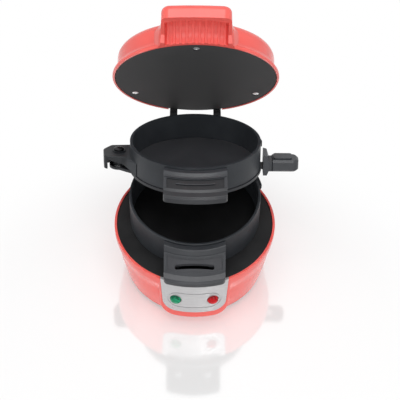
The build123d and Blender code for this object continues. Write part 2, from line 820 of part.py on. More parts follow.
def ring_handle(radius, base_z, height, collar_drop):
    """Moulded finger lever: an open shell around the front of a ring."""
    face = (radius, base_z, height, collar_drop)
    bead = slope_band(*face, bead_share[0], bead_share[1], -0.3, bead_rise)
    panel = slope_band(*face, panel_share[0], panel_share[1], -handle_recess, 2.0)
    outer = handle_points(radius, base_z, height, collar_drop, 0)
    inner = handle_points(radius, base_z, height, collar_drop, handle_wall)
    inner[0] = (radius + 0.3 + handle_wall, inner[0][1])
    with BuildPart() as cavity:
        with BuildSketch(ring_section):
            with BuildLine():
                Polyline(*inner)
                Polyline(
                    inner[-1],
                    (inner[-1][0], base_z - 5),
                    (radius + 0.3 + handle_wall, base_z - 5),
                    inner[0],
                )
            make_face()
        revolve(axis=ring_axis)
        with BuildSketch(Plane.XY.offset(base_z - 5)):
            with Locations((0, -100)):
                Rectangle(2 * (handle_half_width - handle_wall), 200)
        extrude(amount=height + 10, mode=Mode.INTERSECT)
    with BuildPart() as handle:
        with BuildSketch(ring_section):
            with BuildLine():
                FilletPolyline(*outer, radius=(1.4, 1.0, 0.5, 0.5, 1.0, 0.8))
                Polyline(
                    outer[-1],
                    (radius + 0.3, base_z + handle_lift),
                    outer[0],
                )
            make_face()
        revolve(axis=ring_axis)
        with BuildSketch(Plane.XY.offset(base_z)):
            with Locations((0, ring_centre_y)):
                Circle(radius + handle_reach + 0.01)
            with Locations((0, -100)):
                Rectangle(2 * handle_half_width, 200, mode=Mode.INTERSECT)
            fillet(vertices().group_by(Axis.Y)[0], handle_corner)
        extrude(amount=height, mode=Mode.INTERSECT)
        add(cavity.part, mode=Mode.SUBTRACT)
        # recessed panel between two side rails, under a raised bead
        add(relief([panel], handle_half_width - handle_rail), mode=Mode.SUBTRACT)
        add(relief([bead], handle_half_width - 0.6))
        # windows in the back wall where the screw tabs of the ring pass through
        with BuildSketch(Plane.XY.offset(base_z + tab_lift - slip_gap)):
            for angle in tab_angles:
                at = on_circle(radius + handle_wall / 2 + 0.3, angle, ring_centre_y)
                with Locations(Location(at, angle)):
                    Rectangle(handle_wall + 1.4, 2 * (tab_half_width + slip_gap))
        extrude(amount=tab_thick + 2 * slip_gap, mode=Mode.SUBTRACT)
        # posts over the screw tabs of the ring
        post_z = base_z + tab_lift + tab_thick
        for angle in tab_angles:
            with BuildSketch(Plane.XY.offset(post_z)):
                with Locations(on_circle(radius + tab_out, angle, ring_centre_y)):
                    Circle(3.4)
            extrude(until=Until.NEXT)
            with BuildSketch(Plane.XY.offset(post_z)):
                with Locations(on_circle(radius + tab_out, angle, ring_centre_y)):
                    Circle(screw_radius + shank_gap)
            extrude(amount=screw_length - tab_thick, mode=Mode.SUBTRACT)
    return handle.part


def ring_tabs(radius, base_z):
    """Two pierced tabs on the front of a ring that carry its handle."""
    with BuildPart() as tabs:
        with BuildSketch(Plane.XY.offset(base_z + tab_lift)):
            for angle in tab_angles:
                with Locations(on_circle(radius + tab_out, angle, ring_centre_y)):
                    Circle(tab_half_width)
                at = on_circle(radius + tab_out / 2 - 0.6, angle, ring_centre_y)
                with Locations(Location(at, angle)):
                    Rectangle(tab_out + 1.2, 2 * tab_half_width)
                with Locations(on_circle(radius + tab_out, angle, ring_centre_y)):
                    Circle(screw_radius + shank_gap, mode=Mode.SUBTRACT)
        extrude(amount=tab_thick)
    return tabs.part


def handle_screws(radius, base_z):
    """Screws from below through the tabs into the posts of a handle."""
    with BuildPart() as screws:
        with BuildSketch(Plane.XY.offset(base_z + tab_lift - screw_head_height)):
            for angle in tab_angles:
                with Locations(on_circle(radius + tab_out, angle, ring_centre_y)):
                    Circle(screw_head_radius)
        extrude(amount=screw_head_height)
        with BuildSketch(Plane.XY.offset(base_z + tab_lift)):
            for angle in tab_angles:
                with Locations(on_circle(radius + tab_out, angle, ring_centre_y)):
                    Circle(screw_radius)
        extrude(amount=screw_length - 0.5)
    return screws.part


# ================================================================ lower ring
with BuildPart() as lower_ring:
    with BuildSketch(Plane.XY.offset(lower_ring_z)):
        with Locations((0, ring_centre_y)):
            Circle(lower_ring_radius)
            Circle(lower_ring_radius - ring_wall, mode=Mode.SUBTRACT)
    extrude(amount=lower_ring_height)
    fillet(edges().group_by(Axis.Z)[-1], 0.6)
    add(ring_tabs(lower_ring_radius, lower_ring_z))
    # open hook that drops over the hinge pin
    wall_y = ring_centre_y + lower_ring_radius - ring_wall + 0.8
    with BuildSketch(Plane.YZ.offset(-hook_half_width)):
        with Locations((hinge_y, hinge_z)):
            Circle(knuckle_radius)
        Polygon(
            (wall_y, lower_ring_z + 3),
            (wall_y, lower_ring_z + 19),
            (hinge_y, hinge_z + knuckle_radius),
            (hinge_y, hinge_z),
            (hinge_y - 4, lower_ring_z + 3),
            align=None,
        )
        with Locations((hinge_y, hinge_z)):
            Circle(arm_bore, mode=Mode.SUBTRACT)
        with Locations((hinge_y, hinge_z - knuckle_radius)):
            Rectangle(2 * arm_bore, 2 * knuckle_radius, mode=Mode.SUBTRACT)
    extrude(amount=2 * hook_half_width)
    # stiffening rib on the right, level with the rim
    with BuildSketch(radial_plane(rib_angles[0], ring_centre_y)):
        Polygon(
            (lower_ring_radius - 0.6, lower_ring_top - rib_depth),
            (lower_ring_radius + rib_out - 0.8, lower_ring_top - rib_depth),
            (lower_ring_radius + rib_out, lower_ring_top - rib_depth + 2),
            (lower_ring_radius + rib_out, lower_ring_top - rib_drop),
            (lower_ring_radius - 0.6, lower_ring_top - rib_drop),
            align=None,
        )
    revolve(axis=ring_axis, revolution_arc=rib_angles[1] - rib_angles[0])
keep(lower_ring.part, "lower_ring")

with BuildPart() as lower_handle:
    add(ring_handle(lower_ring_radius, lower_ring_z, lower_ring_height, lower_collar_drop))
    # finger slot through the sloping face
    slot_y = ring_front_y(lower_ring_radius + slot_out + slot_width / 2, 0)
    with BuildSketch(Plane.XY.offset(lower_ring_z)):
        with Locations((0, slot_y)):
            SlotOverall(2 * slot_half_width, slot_width)
    extrude(amount=lower_ring_height, mode=Mode.SUBTRACT)
keep(lower_handle.part, "lower_ring_handle")
keep(handle_screws(lower_ring_radius, lower_ring_z), "lower_handle_screws")

# ================================================================ upper ring
def lug_outline():
    """Plan of the pivot lug, running into the ring wall at both ends."""
    px, py = pivot
    FilletPolyline(
        (px + 16.0, py - 27.0),
        (px + 4.0, py - 13.0),
        (px - 12.4, py - 12.2),
        (px - 14.0, py + 3.6),
        (px - 7.4, py + 12.0),
        (px + 16.0, py + 13.4),
        radius=4.0,
    )
    Line((px + 16.0, py + 13.4), (px + 16.0, py - 27.0))


with BuildPart() as lug_pocket:
    with BuildSketch(Plane.XY.offset(upper_ring_z - 1)):
        with BuildLine():
            lug_outline()
        make_face()
        with Locations((0, ring_centre_y)):
            Circle(upper_ring_radius, mode=Mode.SUBTRACT)
        offset(amount=-lug_wall)
        with Locations(pivot):
            Circle(pivot_radius + shank_gap + lug_wall, mode=Mode.SUBTRACT)
    extrude(amount=1 + lug_height - lug_wall)

with BuildPart() as stop_tab:
    with BuildSketch(Plane.XY.offset(swing_top - 1.0)):
        with BuildLine():
            lug_outline()
        make_face()
        with Locations((pivot[0] - stop_out, pivot[1] + stop_back)):
            Rectangle(stop_length, stop_length, mode=Mode.INTERSECT)
        with Locations(pivot):
            Circle(swing_lug_radius + stop_gap, mode=Mode.SUBTRACT)
    extrude(amount=lug_height)

# the arms of the upper ring start inside its back wall
arm_root_y = ring_centre_y + upper_ring_radius - 2.8

with BuildPart() as upper_ring:
    with BuildSketch(Plane.XY.offset(upper_ring_z)):
        with Locations((0, ring_centre_y)):
            Circle(upper_ring_radius)
    extrude(amount=upper_ring_height)
    with BuildSketch(Plane.XY.offset(upper_ring_z)):
        with BuildLine():
            lug_outline()
        make_face()
    extrude(amount=lug_height)
    fillet(faces().filter_by(Axis.Z).sort_by(Axis.Z)[-2].edges().sort_by(Axis.X)[0], 1.2)
    # round seat of the pivot screw
    with BuildSketch(Plane.XY.offset(lug_top_z)):
        with Locations(pivot):
            Circle(pivot_head_radius + 1.4)
    extrude(amount=0.8)
    with BuildSketch(Plane.XY.offset(upper_ring_z)):
        with Locations((0, ring_centre_y)):
            Circle(upper_ring_radius - ring_wall)
    extrude(amount=upper_ring_height, mode=Mode.SUBTRACT)
    add(lug_pocket.part, mode=Mode.SUBTRACT)
    # front skirt of the lug, cut away so that only its tip reaches down
    with BuildSketch(Plane.XZ.offset(-pivot[1] + skirt_in)):
        Polygon(
            (pivot[0] - skirt_tip, upper_ring_z - 1),
            (pivot[0] - skirt_tip, lug_top_z - skirt_left),
            (pivot[0] + skirt_run, upper_ring_z + 2.0),
            (pivot[0] + skirt_run, upper_ring_z - 1),
            align=None,
        )
    extrude(amount=20, mode=Mode.SUBTRACT)
    with BuildSketch(Plane.XY.offset(upper_ring_z)):
        with Locations((0, ring_centre_y)):
            Circle(upper_ring_radius)
            Circle(upper_ring_radius - ring_wall, mode=Mode.SUBTRACT)
    extrude(amount=lug_height)
    add(stop_tab.part)
    with BuildSketch(Plane.XY.offset(upper_ring_z - 5)):
        with Locations(pivot):
            Circle(pivot_radius + shank_gap)
    extrude(amount=lug_height + 10, mode=Mode.SUBTRACT)
    add(ring_tabs(upper_ring_radius, upper_ring_z))
    # two arms that reach down behind the lower ring to the hinge pin
    for side in (-1, 1):
        inner = ring_arm_in if side > 0 else -ring_arm_out
        with BuildSketch(Plane.YZ.offset(inner)):
            with Locations((hinge_y, hinge_z)):
                Circle(knuckle_radius)
            with Locations((hinge_y - 2.6, upper_ring_z + 8.5)):
                Circle(4.0)
            make_hull()
            with Locations((hinge_y, hinge_z)):
                Circle(arm_bore, mode=Mode.SUBTRACT)
        extrude(amount=ring_arm_width)
        with BuildSketch(Plane.YZ.offset(inner)):
            Polygon(
                (arm_root_y, upper_ring_z + 2),
                (hinge_y - 2.6, upper_ring_z + 2),
                (hinge_y - 2.6, upper_ring_z + 12.5),
                (arm_root_y, upper_ring_z + 16),
                align=None,
            )
        extrude(amount=ring_arm_width)
    # catch behind the guard of the swing plate handle
    with BuildSketch(radial_plane(catch_angles[0], ring_centre_y)):
        Polygon(
            (upper_ring_radius - 0.6, upper_ring_top - catch_below),
            (upper_ring_radius + catch_out, upper_ring_top - catch_below + 2),
            (upper_ring_radius + catch_out, upper_ring_top - 5),
            (upper_ring_radius - 0.6, upper_ring_top - 3),
            align=None,
        )
    revolve(axis=ring_axis, revolution_arc=catch_angles[1] - catch_angles[0])
keep(upper_ring.part, "upper_ring", upper_ring_raise)

upper_face = (upper_ring_radius, upper_ring_z, upper_ring_height, upper_collar_drop)
with BuildPart() as upper_handle:
    add(ring_handle(*upper_face))
    # raised rib across the middle of the panel
    rib = slope_band(*upper_face, mid_rib_share[0], mid_rib_share[1], -1.2, mid_rib_rise)
    add(relief([rib], mid_rib_half_width))
keep(upper_handle.part, "upper_ring_handle", upper_ring_raise)
keep(handle_screws(upper_ring_radius, upper_ring_z), "upper_handle_screws", upper_ring_raise)

with BuildPart() as pivot_screw:
    with BuildSketch(Plane.XY.offset(lug_top_z + 0.8)):
        with Locations(pivot):
            Circle(pivot_head_radius)
    extrude(amount=pivot_head_height)
    fillet(edges().group_by(Axis.Z)[-1], 1.4)
    with BuildSketch(Plane.XY.offset(lug_top_z + 0.8)):
        with Locations(pivot):
            Circle(pivot_radius)
    extrude(amount=-(lug_top_z + 0.8 - swing_z + pin_gap + nut_thick + 0.6))
keep(pivot_screw.part, "pivot_screw", upper_ring_raise)

with BuildPart() as pivot_nut:
    with BuildSketch(Plane.XY.offset(swing_z - pin_gap - nut_thick)):
        with Locations(pivot):
            RegularPolygon(4.4, 6)
            Circle(pivot_radius + pin_gap, mode=Mode.SUBTRACT)
    extrude(amount=nut_thick)
keep(pivot_nut.part, "pivot_nut", upper_ring_raise)

with BuildPart() as pivot_washer:
    with BuildSketch(Plane.XY.offset(swing_top + pin_gap)):
        with Locations(pivot):
            Circle(6.4)
            Circle(pivot_radius + pin_gap, mode=Mode.SUBTRACT)
    extrude(amount=upper_rest_gap - 2 * pin_gap)
keep(pivot_washer.part, "pivot_washer", upper_ring_raise)

# ================================================================ swing plate
guard_x = lower_ring_radius + guard_gap
grip_screw_x = (guard_x + 9.0, guard_x + 16.0)
grip_low_z = swing_z - grip_drop
grip_top_z = swing_top + grip_rise

with BuildPart() as swing_plate:
    with BuildSketch(Plane.XY.offset(swing_z)):
        with Locations((0, ring_centre_y)):
            Circle(swing_plate_radius)
        with Locations(pivot):
            Circle(swing_lug_radius)
        Polygon(
            (-pivot_reach, ring_centre_y + swing_lug_radius - 0.2),
            (-pivot_reach + 14, ring_centre_y + 2 * swing_lug_radius),
            (-pivot_reach + 14, ring_centre_y - 2 * swing_lug_radius),
            (-pivot_reach, ring_centre_y - swing_lug_radius + 0.2),
            align=None,
        )
        with Locations(((swing_plate_radius + guard_x + tang_length) / 2 - 2, ring_centre_y)):
            Rectangle(guard_x + tang_length - swing_plate_radius + 4, 2 * tang_half_width)
        with Locations(pivot):
            Circle(pivot_radius + run_gap, mode=Mode.SUBTRACT)
        with Locations(*[(x, ring_centre_y) for x in grip_screw_x]):
            Circle(screw_radius + shank_gap, mode=Mode.SUBTRACT)
    extrude(amount=swing_plate_thick)
keep(swing_plate.part, "swing_plate", upper_ring_raise)

with BuildPart() as plate_handle:
    # grip, rounded at the free end, with a raised thumb pad
    with BuildSketch(Plane.XY.offset(grip_low_z)):
        with Locations((guard_x + guard_thick / 2 + grip_length / 2, ring_centre_y)):
            Rectangle(grip_length + guard_thick, 2 * grip_half_depth)
        fillet(vertices().group_by(Axis.X)[-1], 5.5)
    extrude(amount=grip_top_z - grip_low_z)
    end_edges = edges().group_by(Axis.Z)[-1] + edges().group_by(Axis.Z)[0]
    chamfer(end_edges.filter_by(lambda e: e.center().X > guard_x + 3), 1.8)
    with BuildSketch(Plane.XY.offset(grip_top_z - 0.5)):
        with Locations((guard_x + 17.2, ring_centre_y + 0.4)):
            RectangleRounded(16.0, 2 * grip_half_depth - 6.0, 2.0)
    extrude(amount=1.9)
    # waist between the guard and the grip
    with BuildSketch(Plane.XY.offset(grip_low_z - 1)):
        with Locations((guard_x + guard_thick + 2.6, ring_centre_y - grip_half_depth)):
            SlotOverall(5.2, 3.0)
        with Locations((guard_x + guard_thick + 2.6, ring_centre_y + grip_half_depth)):
            SlotOverall(5.2, 3.0)
    extrude(amount=grip_top_z - grip_low_z + 2, mode=Mode.SUBTRACT)
    with BuildSketch(Plane.XZ.offset(-ring_centre_y - grip_half_depth - 1)):
        with Locations((guard_x + guard_thick + 2.6, grip_top_z)):
            SlotOverall(5.6, 3.0)
    extrude(amount=2 * grip_half_depth + 2, mode=Mode.SUBTRACT)
    # guard that keeps fingers off the hot rings
    with BuildSketch(Plane.XZ.offset(-ring_centre_y - grip_half_depth)):
        Polygon(
            (guard_x, grip_low_z - guard_drop + 2),
            (guard_x, grip_top_z + guard_rise - 6),
            (guard_x + guard_thick, grip_top_z + guard_rise - 7),
            (guard_x + guard_thick + 2.0, grip_top_z - 2),
            (guard_x + guard_thick + 2.0, grip_low_z + 2),
            (guard_x + guard_thick, grip_low_z - guard_drop + 2),
            align=None,
        )
    extrude(amount=2 * grip_half_depth)
    # pocket for the tang of the plate, and the two screw holes
    with BuildSketch(Plane.YZ.offset(guard_x - 1)):
        with Locations((ring_centre_y, (swing_z + swing_top) / 2)):
            Rectangle(
                2 * (tang_half_width + shank_gap), swing_plate_thick + 2 * shank_gap
            )
    extrude(amount=tang_length + 1 + shank_gap, mode=Mode.SUBTRACT)
    with BuildSketch(Plane.XY.offset(grip_low_z)):
        with Locations(*[(x, ring_centre_y) for x in grip_screw_x]):
            Circle(screw_radius + shank_gap)
    extrude(amount=screw_length + 0.5, mode=Mode.SUBTRACT)
keep(plate_handle.part, "swing_plate_handle", upper_ring_raise)

with BuildPart() as grip_screws:
    with BuildSketch(Plane.XY.offset(grip_low_z - screw_head_height)):
        with Locations(*[(x, ring_centre_y) for x in grip_screw_x]):
            Circle(screw_head_radius)
    extrude(amount=screw_head_height)
    with BuildSketch(Plane.XY.offset(grip_low_z)):
        with Locations(*[(x, ring_centre_y) for x in grip_screw_x]):
            Circle(screw_radius)
    extrude(amount=screw_length)
keep(grip_screws.part, "swing_handle_screws", upper_ring_raise)

# ================================================================ hinge bracket and pin
tower_top_z = rim_top_z + 0.4
tower_back_y = bowl_rim_radius + tower_depth

with BuildPart() as bowl_clear:
    with BuildSketch(Plane.XZ):
        with BuildLine():
            bowl_outline(-wall_gap, foot_height)
            Polyline(
                (bowl_rim_radius + wall_gap, rim_top_z),
                (bowl_rim_radius + wall_gap, tower_top_z + 1),
                (0, tower_top_z + 1),
                (0, foot_height),
                (bowl_bottom_radius + wall_gap, foot_height),
            )
        make_face()
    revolve(axis=Axis.Z)

with BuildPart() as hinge_tower:
    # upright block whose front follows the back of the bowl
    with BuildSketch(Plane.XY.offset(tower_bottom_z)):
        with Locations((0, tower_back_y - 15)):
            Rectangle(2 * ear_out, 30)
        fillet(vertices().group_by(Axis.Y)[-1], 4.0)
    extrude(amount=tower_top_z - tower_bottom_z)
    add(bowl_clear.part, mode=Mode.SUBTRACT)
    # sloping seat between the ears, below the swing of the lid arms
    with BuildSketch(Plane.YZ.offset(-ear_in)):
        Polygon(
            (hinge_y - 20, hinge_z - 8),
            (hinge_y - 1.1, hinge_z - 8),
            (hinge_y + 10, hinge_z - 24),
            (hinge_y + 30, hinge_z - 24),
            (hinge_y + 30, hinge_z + 10),
            (hinge_y - 20, hinge_z + 10),
            align=None,
        )
    extrude(amount=2 * ear_in, mode=Mode.SUBTRACT)
    # ears that hold the pin
    for side in (-1, 1):
        inner = ear_in if side > 0 else -ear_out
        with BuildSketch(Plane.YZ.offset(inner)):
            with Locations((hinge_y, hinge_z)):
                Circle(ear_radius)
            Polygon(
                (hinge_y - ear_radius, hinge_z),
                (hinge_y + ear_radius, hinge_z),
                (tower_back_y, tower_top_z - 4),
                (tower_back_y, tower_top_z - 10),
                (hinge_y - 2.5, tower_top_z - 10),
                (hinge_y - 2.5, tower_top_z),
                (hinge_y - ear_radius, tower_top_z),
                align=None,
            )
            with Locations((hinge_y, hinge_z)):
                Circle(pin_radius + pin_gap, mode=Mode.SUBTRACT)
        extrude(amount=ear_width)
    # screw holes, sunk from behind
    for z in tower_screw_z:
        with BuildSketch(Plane.XZ.offset(-tower_seat_y)):
            with Locations((-tower_screw_x, z), (tower_screw_x, z)):
                Circle(screw_head_radius + slip_gap)
        extrude(amount=-20, mode=Mode.SUBTRACT)
        with BuildSketch(Plane.XZ.offset(-tower_seat_y)):
            with Locations((-tower_screw_x, z), (tower_screw_x, z)):
                Circle(screw_radius + shank_gap)
        extrude(amount=20, mode=Mode.SUBTRACT)
keep(hinge_tower.part, "hinge_bracket")

with BuildPart() as tower_screws:
    for z in tower_screw_z:
        with BuildSketch(Plane.XZ.offset(-tower_seat_y)):
            with Locations((-tower_screw_x, z), (tower_screw_x, z)):
                Circle(screw_head_radius)
        extrude(amount=-screw_head_height)
        with BuildSketch(Plane.XZ.offset(-tower_seat_y)):
            with Locations((-tower_screw_x, z), (tower_screw_x, z)):
                Circle(screw_radius)
        extrude(amount=tower_screw_length)
keep(tower_screws.part, "hinge_bracket_screws")

with BuildPart() as hinge_pin:
    with BuildSketch(Plane.YZ.offset(-ear_out - pin_overhang)):
        with Locations((hinge_y, hinge_z)):
            Circle(pin_radius)
    extrude(amount=2 * (ear_out + pin_overhang))
    chamfer(edges(), 0.5)
    for start in (-ear_out - slip_gap - clip_thick, ear_out + slip_gap):
        with BuildSketch(Plane.YZ.offset(start)):
            with Locations((hinge_y, hinge_z)):
                Circle(pin_radius + 1)
                Circle(pin_radius - groove_depth, mode=Mode.SUBTRACT)
        extrude(amount=clip_thick, mode=Mode.SUBTRACT)
keep(hinge_pin.part, "hinge_pin")

with BuildPart() as pin_clips:
    for start in (-ear_out - slip_gap - clip_thick, ear_out + slip_gap):
        with BuildSketch(Plane.YZ.offset(start + 0.05)):
            with Locations((hinge_y, hinge_z)):
                Circle(clip_radius)
                Circle(pin_radius - groove_depth + pin_gap, mode=Mode.SUBTRACT)
            with Locations((hinge_y, hinge_z - clip_radius)):
                Rectangle(2 * (pin_radius - groove_depth), 2 * clip_radius, mode=Mode.SUBTRACT)
        extrude(amount=clip_thick - 0.1)
keep(pin_clips.part, "pin_clips")

# ================================================================ lid
lid_rim_z = lid_plate_z - lid_rim_drop
lid_flare_top = lid_rim_z + lid_flare_height
seat_z = lid_plate_top + 0.1


def lid_outline(inset):
    """Shoulder and domed top of the lid, from the wall to the middle."""
    wall = lid_wall_radius - inset
    top = lid_top_z - inset
    shoulder = (wall, top - lid_shoulder - 3.0)
    crown = (wall - lid_shoulder + 1.0, top - lid_dome)
    dome_radius = (crown[0] ** 2 + lid_dome**2) / (2 * lid_dome)
    ThreePointArc(
        shoulder, (wall - 0.26 * lid_shoulder, top - 0.66 * lid_shoulder), crown
    )
    CenterArc(
        (0, top - dome_radius), dome_radius, 90, -degrees(asin(crown[0] / dome_radius))
    )


with BuildPart() as lid_core:
    with BuildSketch(lid_section):
        with BuildLine():
            Line((0, seat_z), (lid_wall_radius - lid_wall, seat_z))
            Line(
                (lid_wall_radius - lid_wall, seat_z),
                (lid_wall_radius - lid_wall, lid_top_z - lid_shoulder - 3.0 - lid_wall),
            )
            lid_outline(lid_wall)
            Line((0, lid_top_z - lid_wall), (0, seat_z))
        make_face()
    revolve(axis=lid_axis)

# Scoop handle: a soft-edged lip with a hollow for the fingers under it. The
# hollow follows the rim of the lid, and upright ribs run down it.
front_y = lid_handle_front_y
scoop_foot_radius = lid_flare_radius + scoop_gap
scoop_head_radius = lid_centre_y - front_y - lip_thick
scoop_mid_radius = scoop_foot_radius + 0.30 * (scoop_head_radius - scoop_foot_radius)
scoop_top_z = lid_rim_z + scoop_rise
scoop_mid_z = lid_rim_z + 0.74 * scoop_rise


def scoop_y(radius, x):
    """Y of the front of a lid-centred circle, at a distance x from the middle."""
    return lid_centre_y - sqrt(radius * radius - x * x)


with BuildPart() as scoop:
    with BuildSketch(lid_section):
        with BuildLine():
            Line((scoop_head_radius, lid_rim_z - 1), (scoop_foot_radius, lid_rim_z - 1))
            Line((scoop_foot_radius, lid_rim_z - 1), (scoop_foot_radius, lid_rim_z))
            ThreePointArc(
                (scoop_foot_radius, lid_rim_z),
                (scoop_mid_radius, scoop_mid_z),
                (scoop_head_radius, scoop_top_z),
            )
            Line((scoop_head_radius, scoop_top_z), (scoop_head_radius, lid_rim_z - 1))
        make_face()
    revolve(axis=lid_axis)
    with BuildSketch(Plane.XZ):
        with Locations((0, lid_rim_z - 1 + (scoop_rise + 2) / 2)):
            Rectangle(2 * (lid_handle_half_width - scoop_rail), scoop_rise + 2)
        fillet(vertices().group_by(Axis.Y)[-1], scoop_corner)
    extrude(amount=120, mode=Mode.INTERSECT)

with BuildPart() as ribs:
    pitch = 2 * (lid_handle_half_width - scoop_rail) / grip_rib_count
    for index in range(grip_rib_count):
        x = pitch * (index - (grip_rib_count - 1) / 2)
        foot = (scoop_y(scoop_foot_radius, x), lid_rim_z - 0.5)
        middle = (scoop_y(scoop_mid_radius, x), scoop_mid_z)
        head = (scoop_y(scoop_head_radius - 1.0, x), scoop_top_z - 0.1)
        with BuildLine(Plane.YZ.offset(x)):
            ThreePointArc(foot, middle, head)
        with BuildSketch(Plane.XY.offset(lid_rim_z - 0.5)):
            with Locations((x, foot[0])):
                Circle(grip_rib_radius)
        sweep()

with BuildPart() as lid_handle:
    with BuildSketch(Plane.XY.offset(lid_rim_z)):
        with BuildLine():
            half = lid_handle_half_width
            wide = lid_handle_foot_half_width
            Polyline((half, front_y + lid_handle_bow), (half + 0.8, -76), (half + 2.4, -66), (wide, -56))
            Line((wide, -56), (-wide, -56))
            Polyline((-wide, -56), (-half - 2.4, -66), (-half - 0.8, -76), (-half, front_y + lid_handle_bow))
            ThreePointArc(
                (-half, front_y + lid_handle_bow),
                (0, front_y),
                (half, front_y + lid_handle_bow),
            )
        make_face()
        fillet(vertices().group_by(Axis.Y)[0], lid_handle_corner)
        flanks = vertices().filter_by(lambda v: -80 < v.Y < -60)
        fillet(flanks, 14.0)
    extrude(amount=lid_handle_top_z - lid_rim_z)
    rim_edges = edges().group_by(Axis.Z)[-1].filter_by(lambda e: e.center().Y < -57)
    fillet(rim_edges, lid_handle_soft)
    # underside, rising from the rim of the lid to the lip
    with BuildSketch(Plane.YZ.offset(-60)):
        Polygon(
            (front_y - 5.0, lid_rim_z - 1),
            (front_y - 5.0, lid_rim_z + 8.2),
            (front_y + lip_thick + 1.0, lid_rim_z + 9.0),
            (lid_centre_y - scoop_foot_radius - 5.0, lid_rim_z + 5.4),
            (lid_centre_y - scoop_foot_radius, lid_rim_z),
            (lid_centre_y - scoop_foot_radius, lid_rim_z - 1),
            align=None,
        )
    extrude(amount=120, mode=Mode.SUBTRACT)
    add(scoop.part, mode=Mode.SUBTRACT)

lid_notch_half = lid_arm_out + 1.2
lid_bracket_low = lid_rim_z + 3.4
lid_bracket_top = lid_rim_z + 20.2
lid_bracket_screws = (-12.0, 12.0)
lid_bracket_screw_z = lid_bracket_low + 9.5
lid_back_y = lid_centre_y + lid_wall_radius
lid_bracket_back_y = lid_back_y + 6.2

with BuildPart() as lid_shell:
    with BuildSketch(lid_section):
        with BuildLine():
            Line((0, lid_rim_z), (lid_flare_radius - 0.6, lid_rim_z))
            Line((lid_flare_radius - 0.6, lid_rim_z), (lid_flare_radius, lid_rim_z + 0.8))
            Line((lid_flare_radius, lid_rim_z + 0.8), (lid_flare_radius, lid_rim_z + 2.4))
            ThreePointArc(
                (lid_flare_radius, lid_rim_z + 2.4),
                (lid_wall_radius + 1.1, lid_rim_z + 5.2),
                (lid_wall_radius, lid_flare_top),
            )
            Line((lid_wall_radius, lid_flare_top), (lid_wall_radius, lid_top_z - lid_shoulder - 3.0))
            lid_outline(0)
            Line((0, lid_top_z), (0, lid_rim_z))
        make_face()
    revolve(axis=lid_axis)
    add(lid_handle.part)
    add(ribs.part)
    # the ribs end level with the rim
    with BuildSketch(Plane.XY.offset(lid_rim_z - 3)):
        Rectangle(300, 300)
    extrude(amount=3, mode=Mode.SUBTRACT)
    add(lid_core.part, mode=Mode.SUBTRACT)
    with BuildSketch(Plane.XY.offset(lid_rim_z - 1)):
        with Locations((0, lid_centre_y)):
            Circle(lid_plate_radius + slip_gap)
    extrude(amount=seat_z - lid_rim_z + 1, mode=Mode.SUBTRACT)
    # pillars for the screws of the lid plate
    with BuildSketch(Plane.XY.offset(seat_z)):
        with Locations((0, lid_centre_y)):
            with PolarLocations(lid_screw_radius_at, 3, -90):
                Circle(4.6)
    extrude(amount=16)
    with BuildSketch(Plane.XY.offset(seat_z - 1)):
        with Locations((0, lid_centre_y)):
            with PolarLocations(lid_screw_radius_at, 3, -90):
                Circle(screw_radius + shank_gap)
    extrude(amount=12, mode=Mode.SUBTRACT)
    # notch in the flare behind, and two bosses for the hinge arms
    with BuildSketch(Plane.XY.offset(lid_rim_z - 1)):
        with Locations((0, lid_back_y)):
            Rectangle(2 * lid_notch_half, 40)
        with Locations((0, lid_centre_y)):
            Circle(lid_wall_radius, mode=Mode.SUBTRACT)
    extrude(amount=lid_flare_height + 2, mode=Mode.SUBTRACT)
    with BuildSketch(Plane.XZ.offset(-lid_back_y + 9)):
        with Locations(*[(x, lid_bracket_screw_z) for x in lid_bracket_screws]):
            Circle(4.0)
    extrude(amount=-7.5)
    with BuildSketch(Plane.XZ.offset(-lid_back_y + 10)):
        with Locations(*[(x, lid_bracket_screw_z) for x in lid_bracket_screws]):
            Circle(screw_radius + shank_gap)
    extrude(amount=-12, mode=Mode.SUBTRACT)
keep(lid_shell.part, "lid_shell", lid_raise)

with BuildPart() as lid_plate:
    with BuildSketch(Plane.XY.offset(lid_plate_z)):
        with Locations((0, lid_centre_y)):
            Circle(lid_plate_radius)
    extrude(amount=heated_plate_thick)
    fillet(edges().group_by(Axis.Z)[0], 0.8)
    with BuildSketch(Plane.XY.offset(lid_plate_top)):
        with Locations((0, lid_centre_y)):
            with PolarLocations(clamp_boss_at, 3, 30):
                Circle(clamp_boss_radius)
                Circle(screw_radius + shank_gap, mode=Mode.SUBTRACT)
    extrude(amount=boss_height)
    with BuildSketch(Plane.XY.offset(lid_plate_z)):
        with Locations((0, lid_centre_y)):
            with PolarLocations(lid_screw_radius_at, 3, -90):
                Circle(screw_head_radius + slip_gap)
    extrude(amount=0.8, mode=Mode.SUBTRACT)
    with BuildSketch(Plane.XY.offset(lid_plate_z)):
        with Locations((0, lid_centre_y)):
            with PolarLocations(lid_screw_radius_at, 3, -90):
                Circle(screw_radius + shank_gap)
    extrude(amount=heated_plate_thick, mode=Mode.SUBTRACT)
keep(lid_plate.part, "lid_plate", lid_raise)

with BuildPart() as lid_plate_screws:
    with BuildSketch(Plane.XY.offset(lid_plate_z + 0.8 - screw_head_height / 2)):
        with Locations((0, lid_centre_y)):
            with PolarLocations(lid_screw_radius_at, 3, -90):
                Circle(screw_head_radius)
    extrude(amount=screw_head_height / 2)
    with BuildSketch(Plane.XY.offset(lid_plate_z + 0.8)):
        with Locations((0, lid_centre_y)):
            with PolarLocations(lid_screw_radius_at, 3, -90):
                Circle(screw_radius)
    extrude(amount=screw_length + 1)
keep(lid_plate_screws.part, "lid_plate_screws", lid_raise)

keep(heating_element(lid_plate_top, lid_centre_y, 1), "lid_heating_element", lid_raise)
keep(heater_clamp(lid_plate_top, lid_centre_y, 1), "lid_heater_clamp", lid_raise)
keep(clamp_screws(lid_plate_top, lid_centre_y, 1), "lid_clamp_screws", lid_raise)

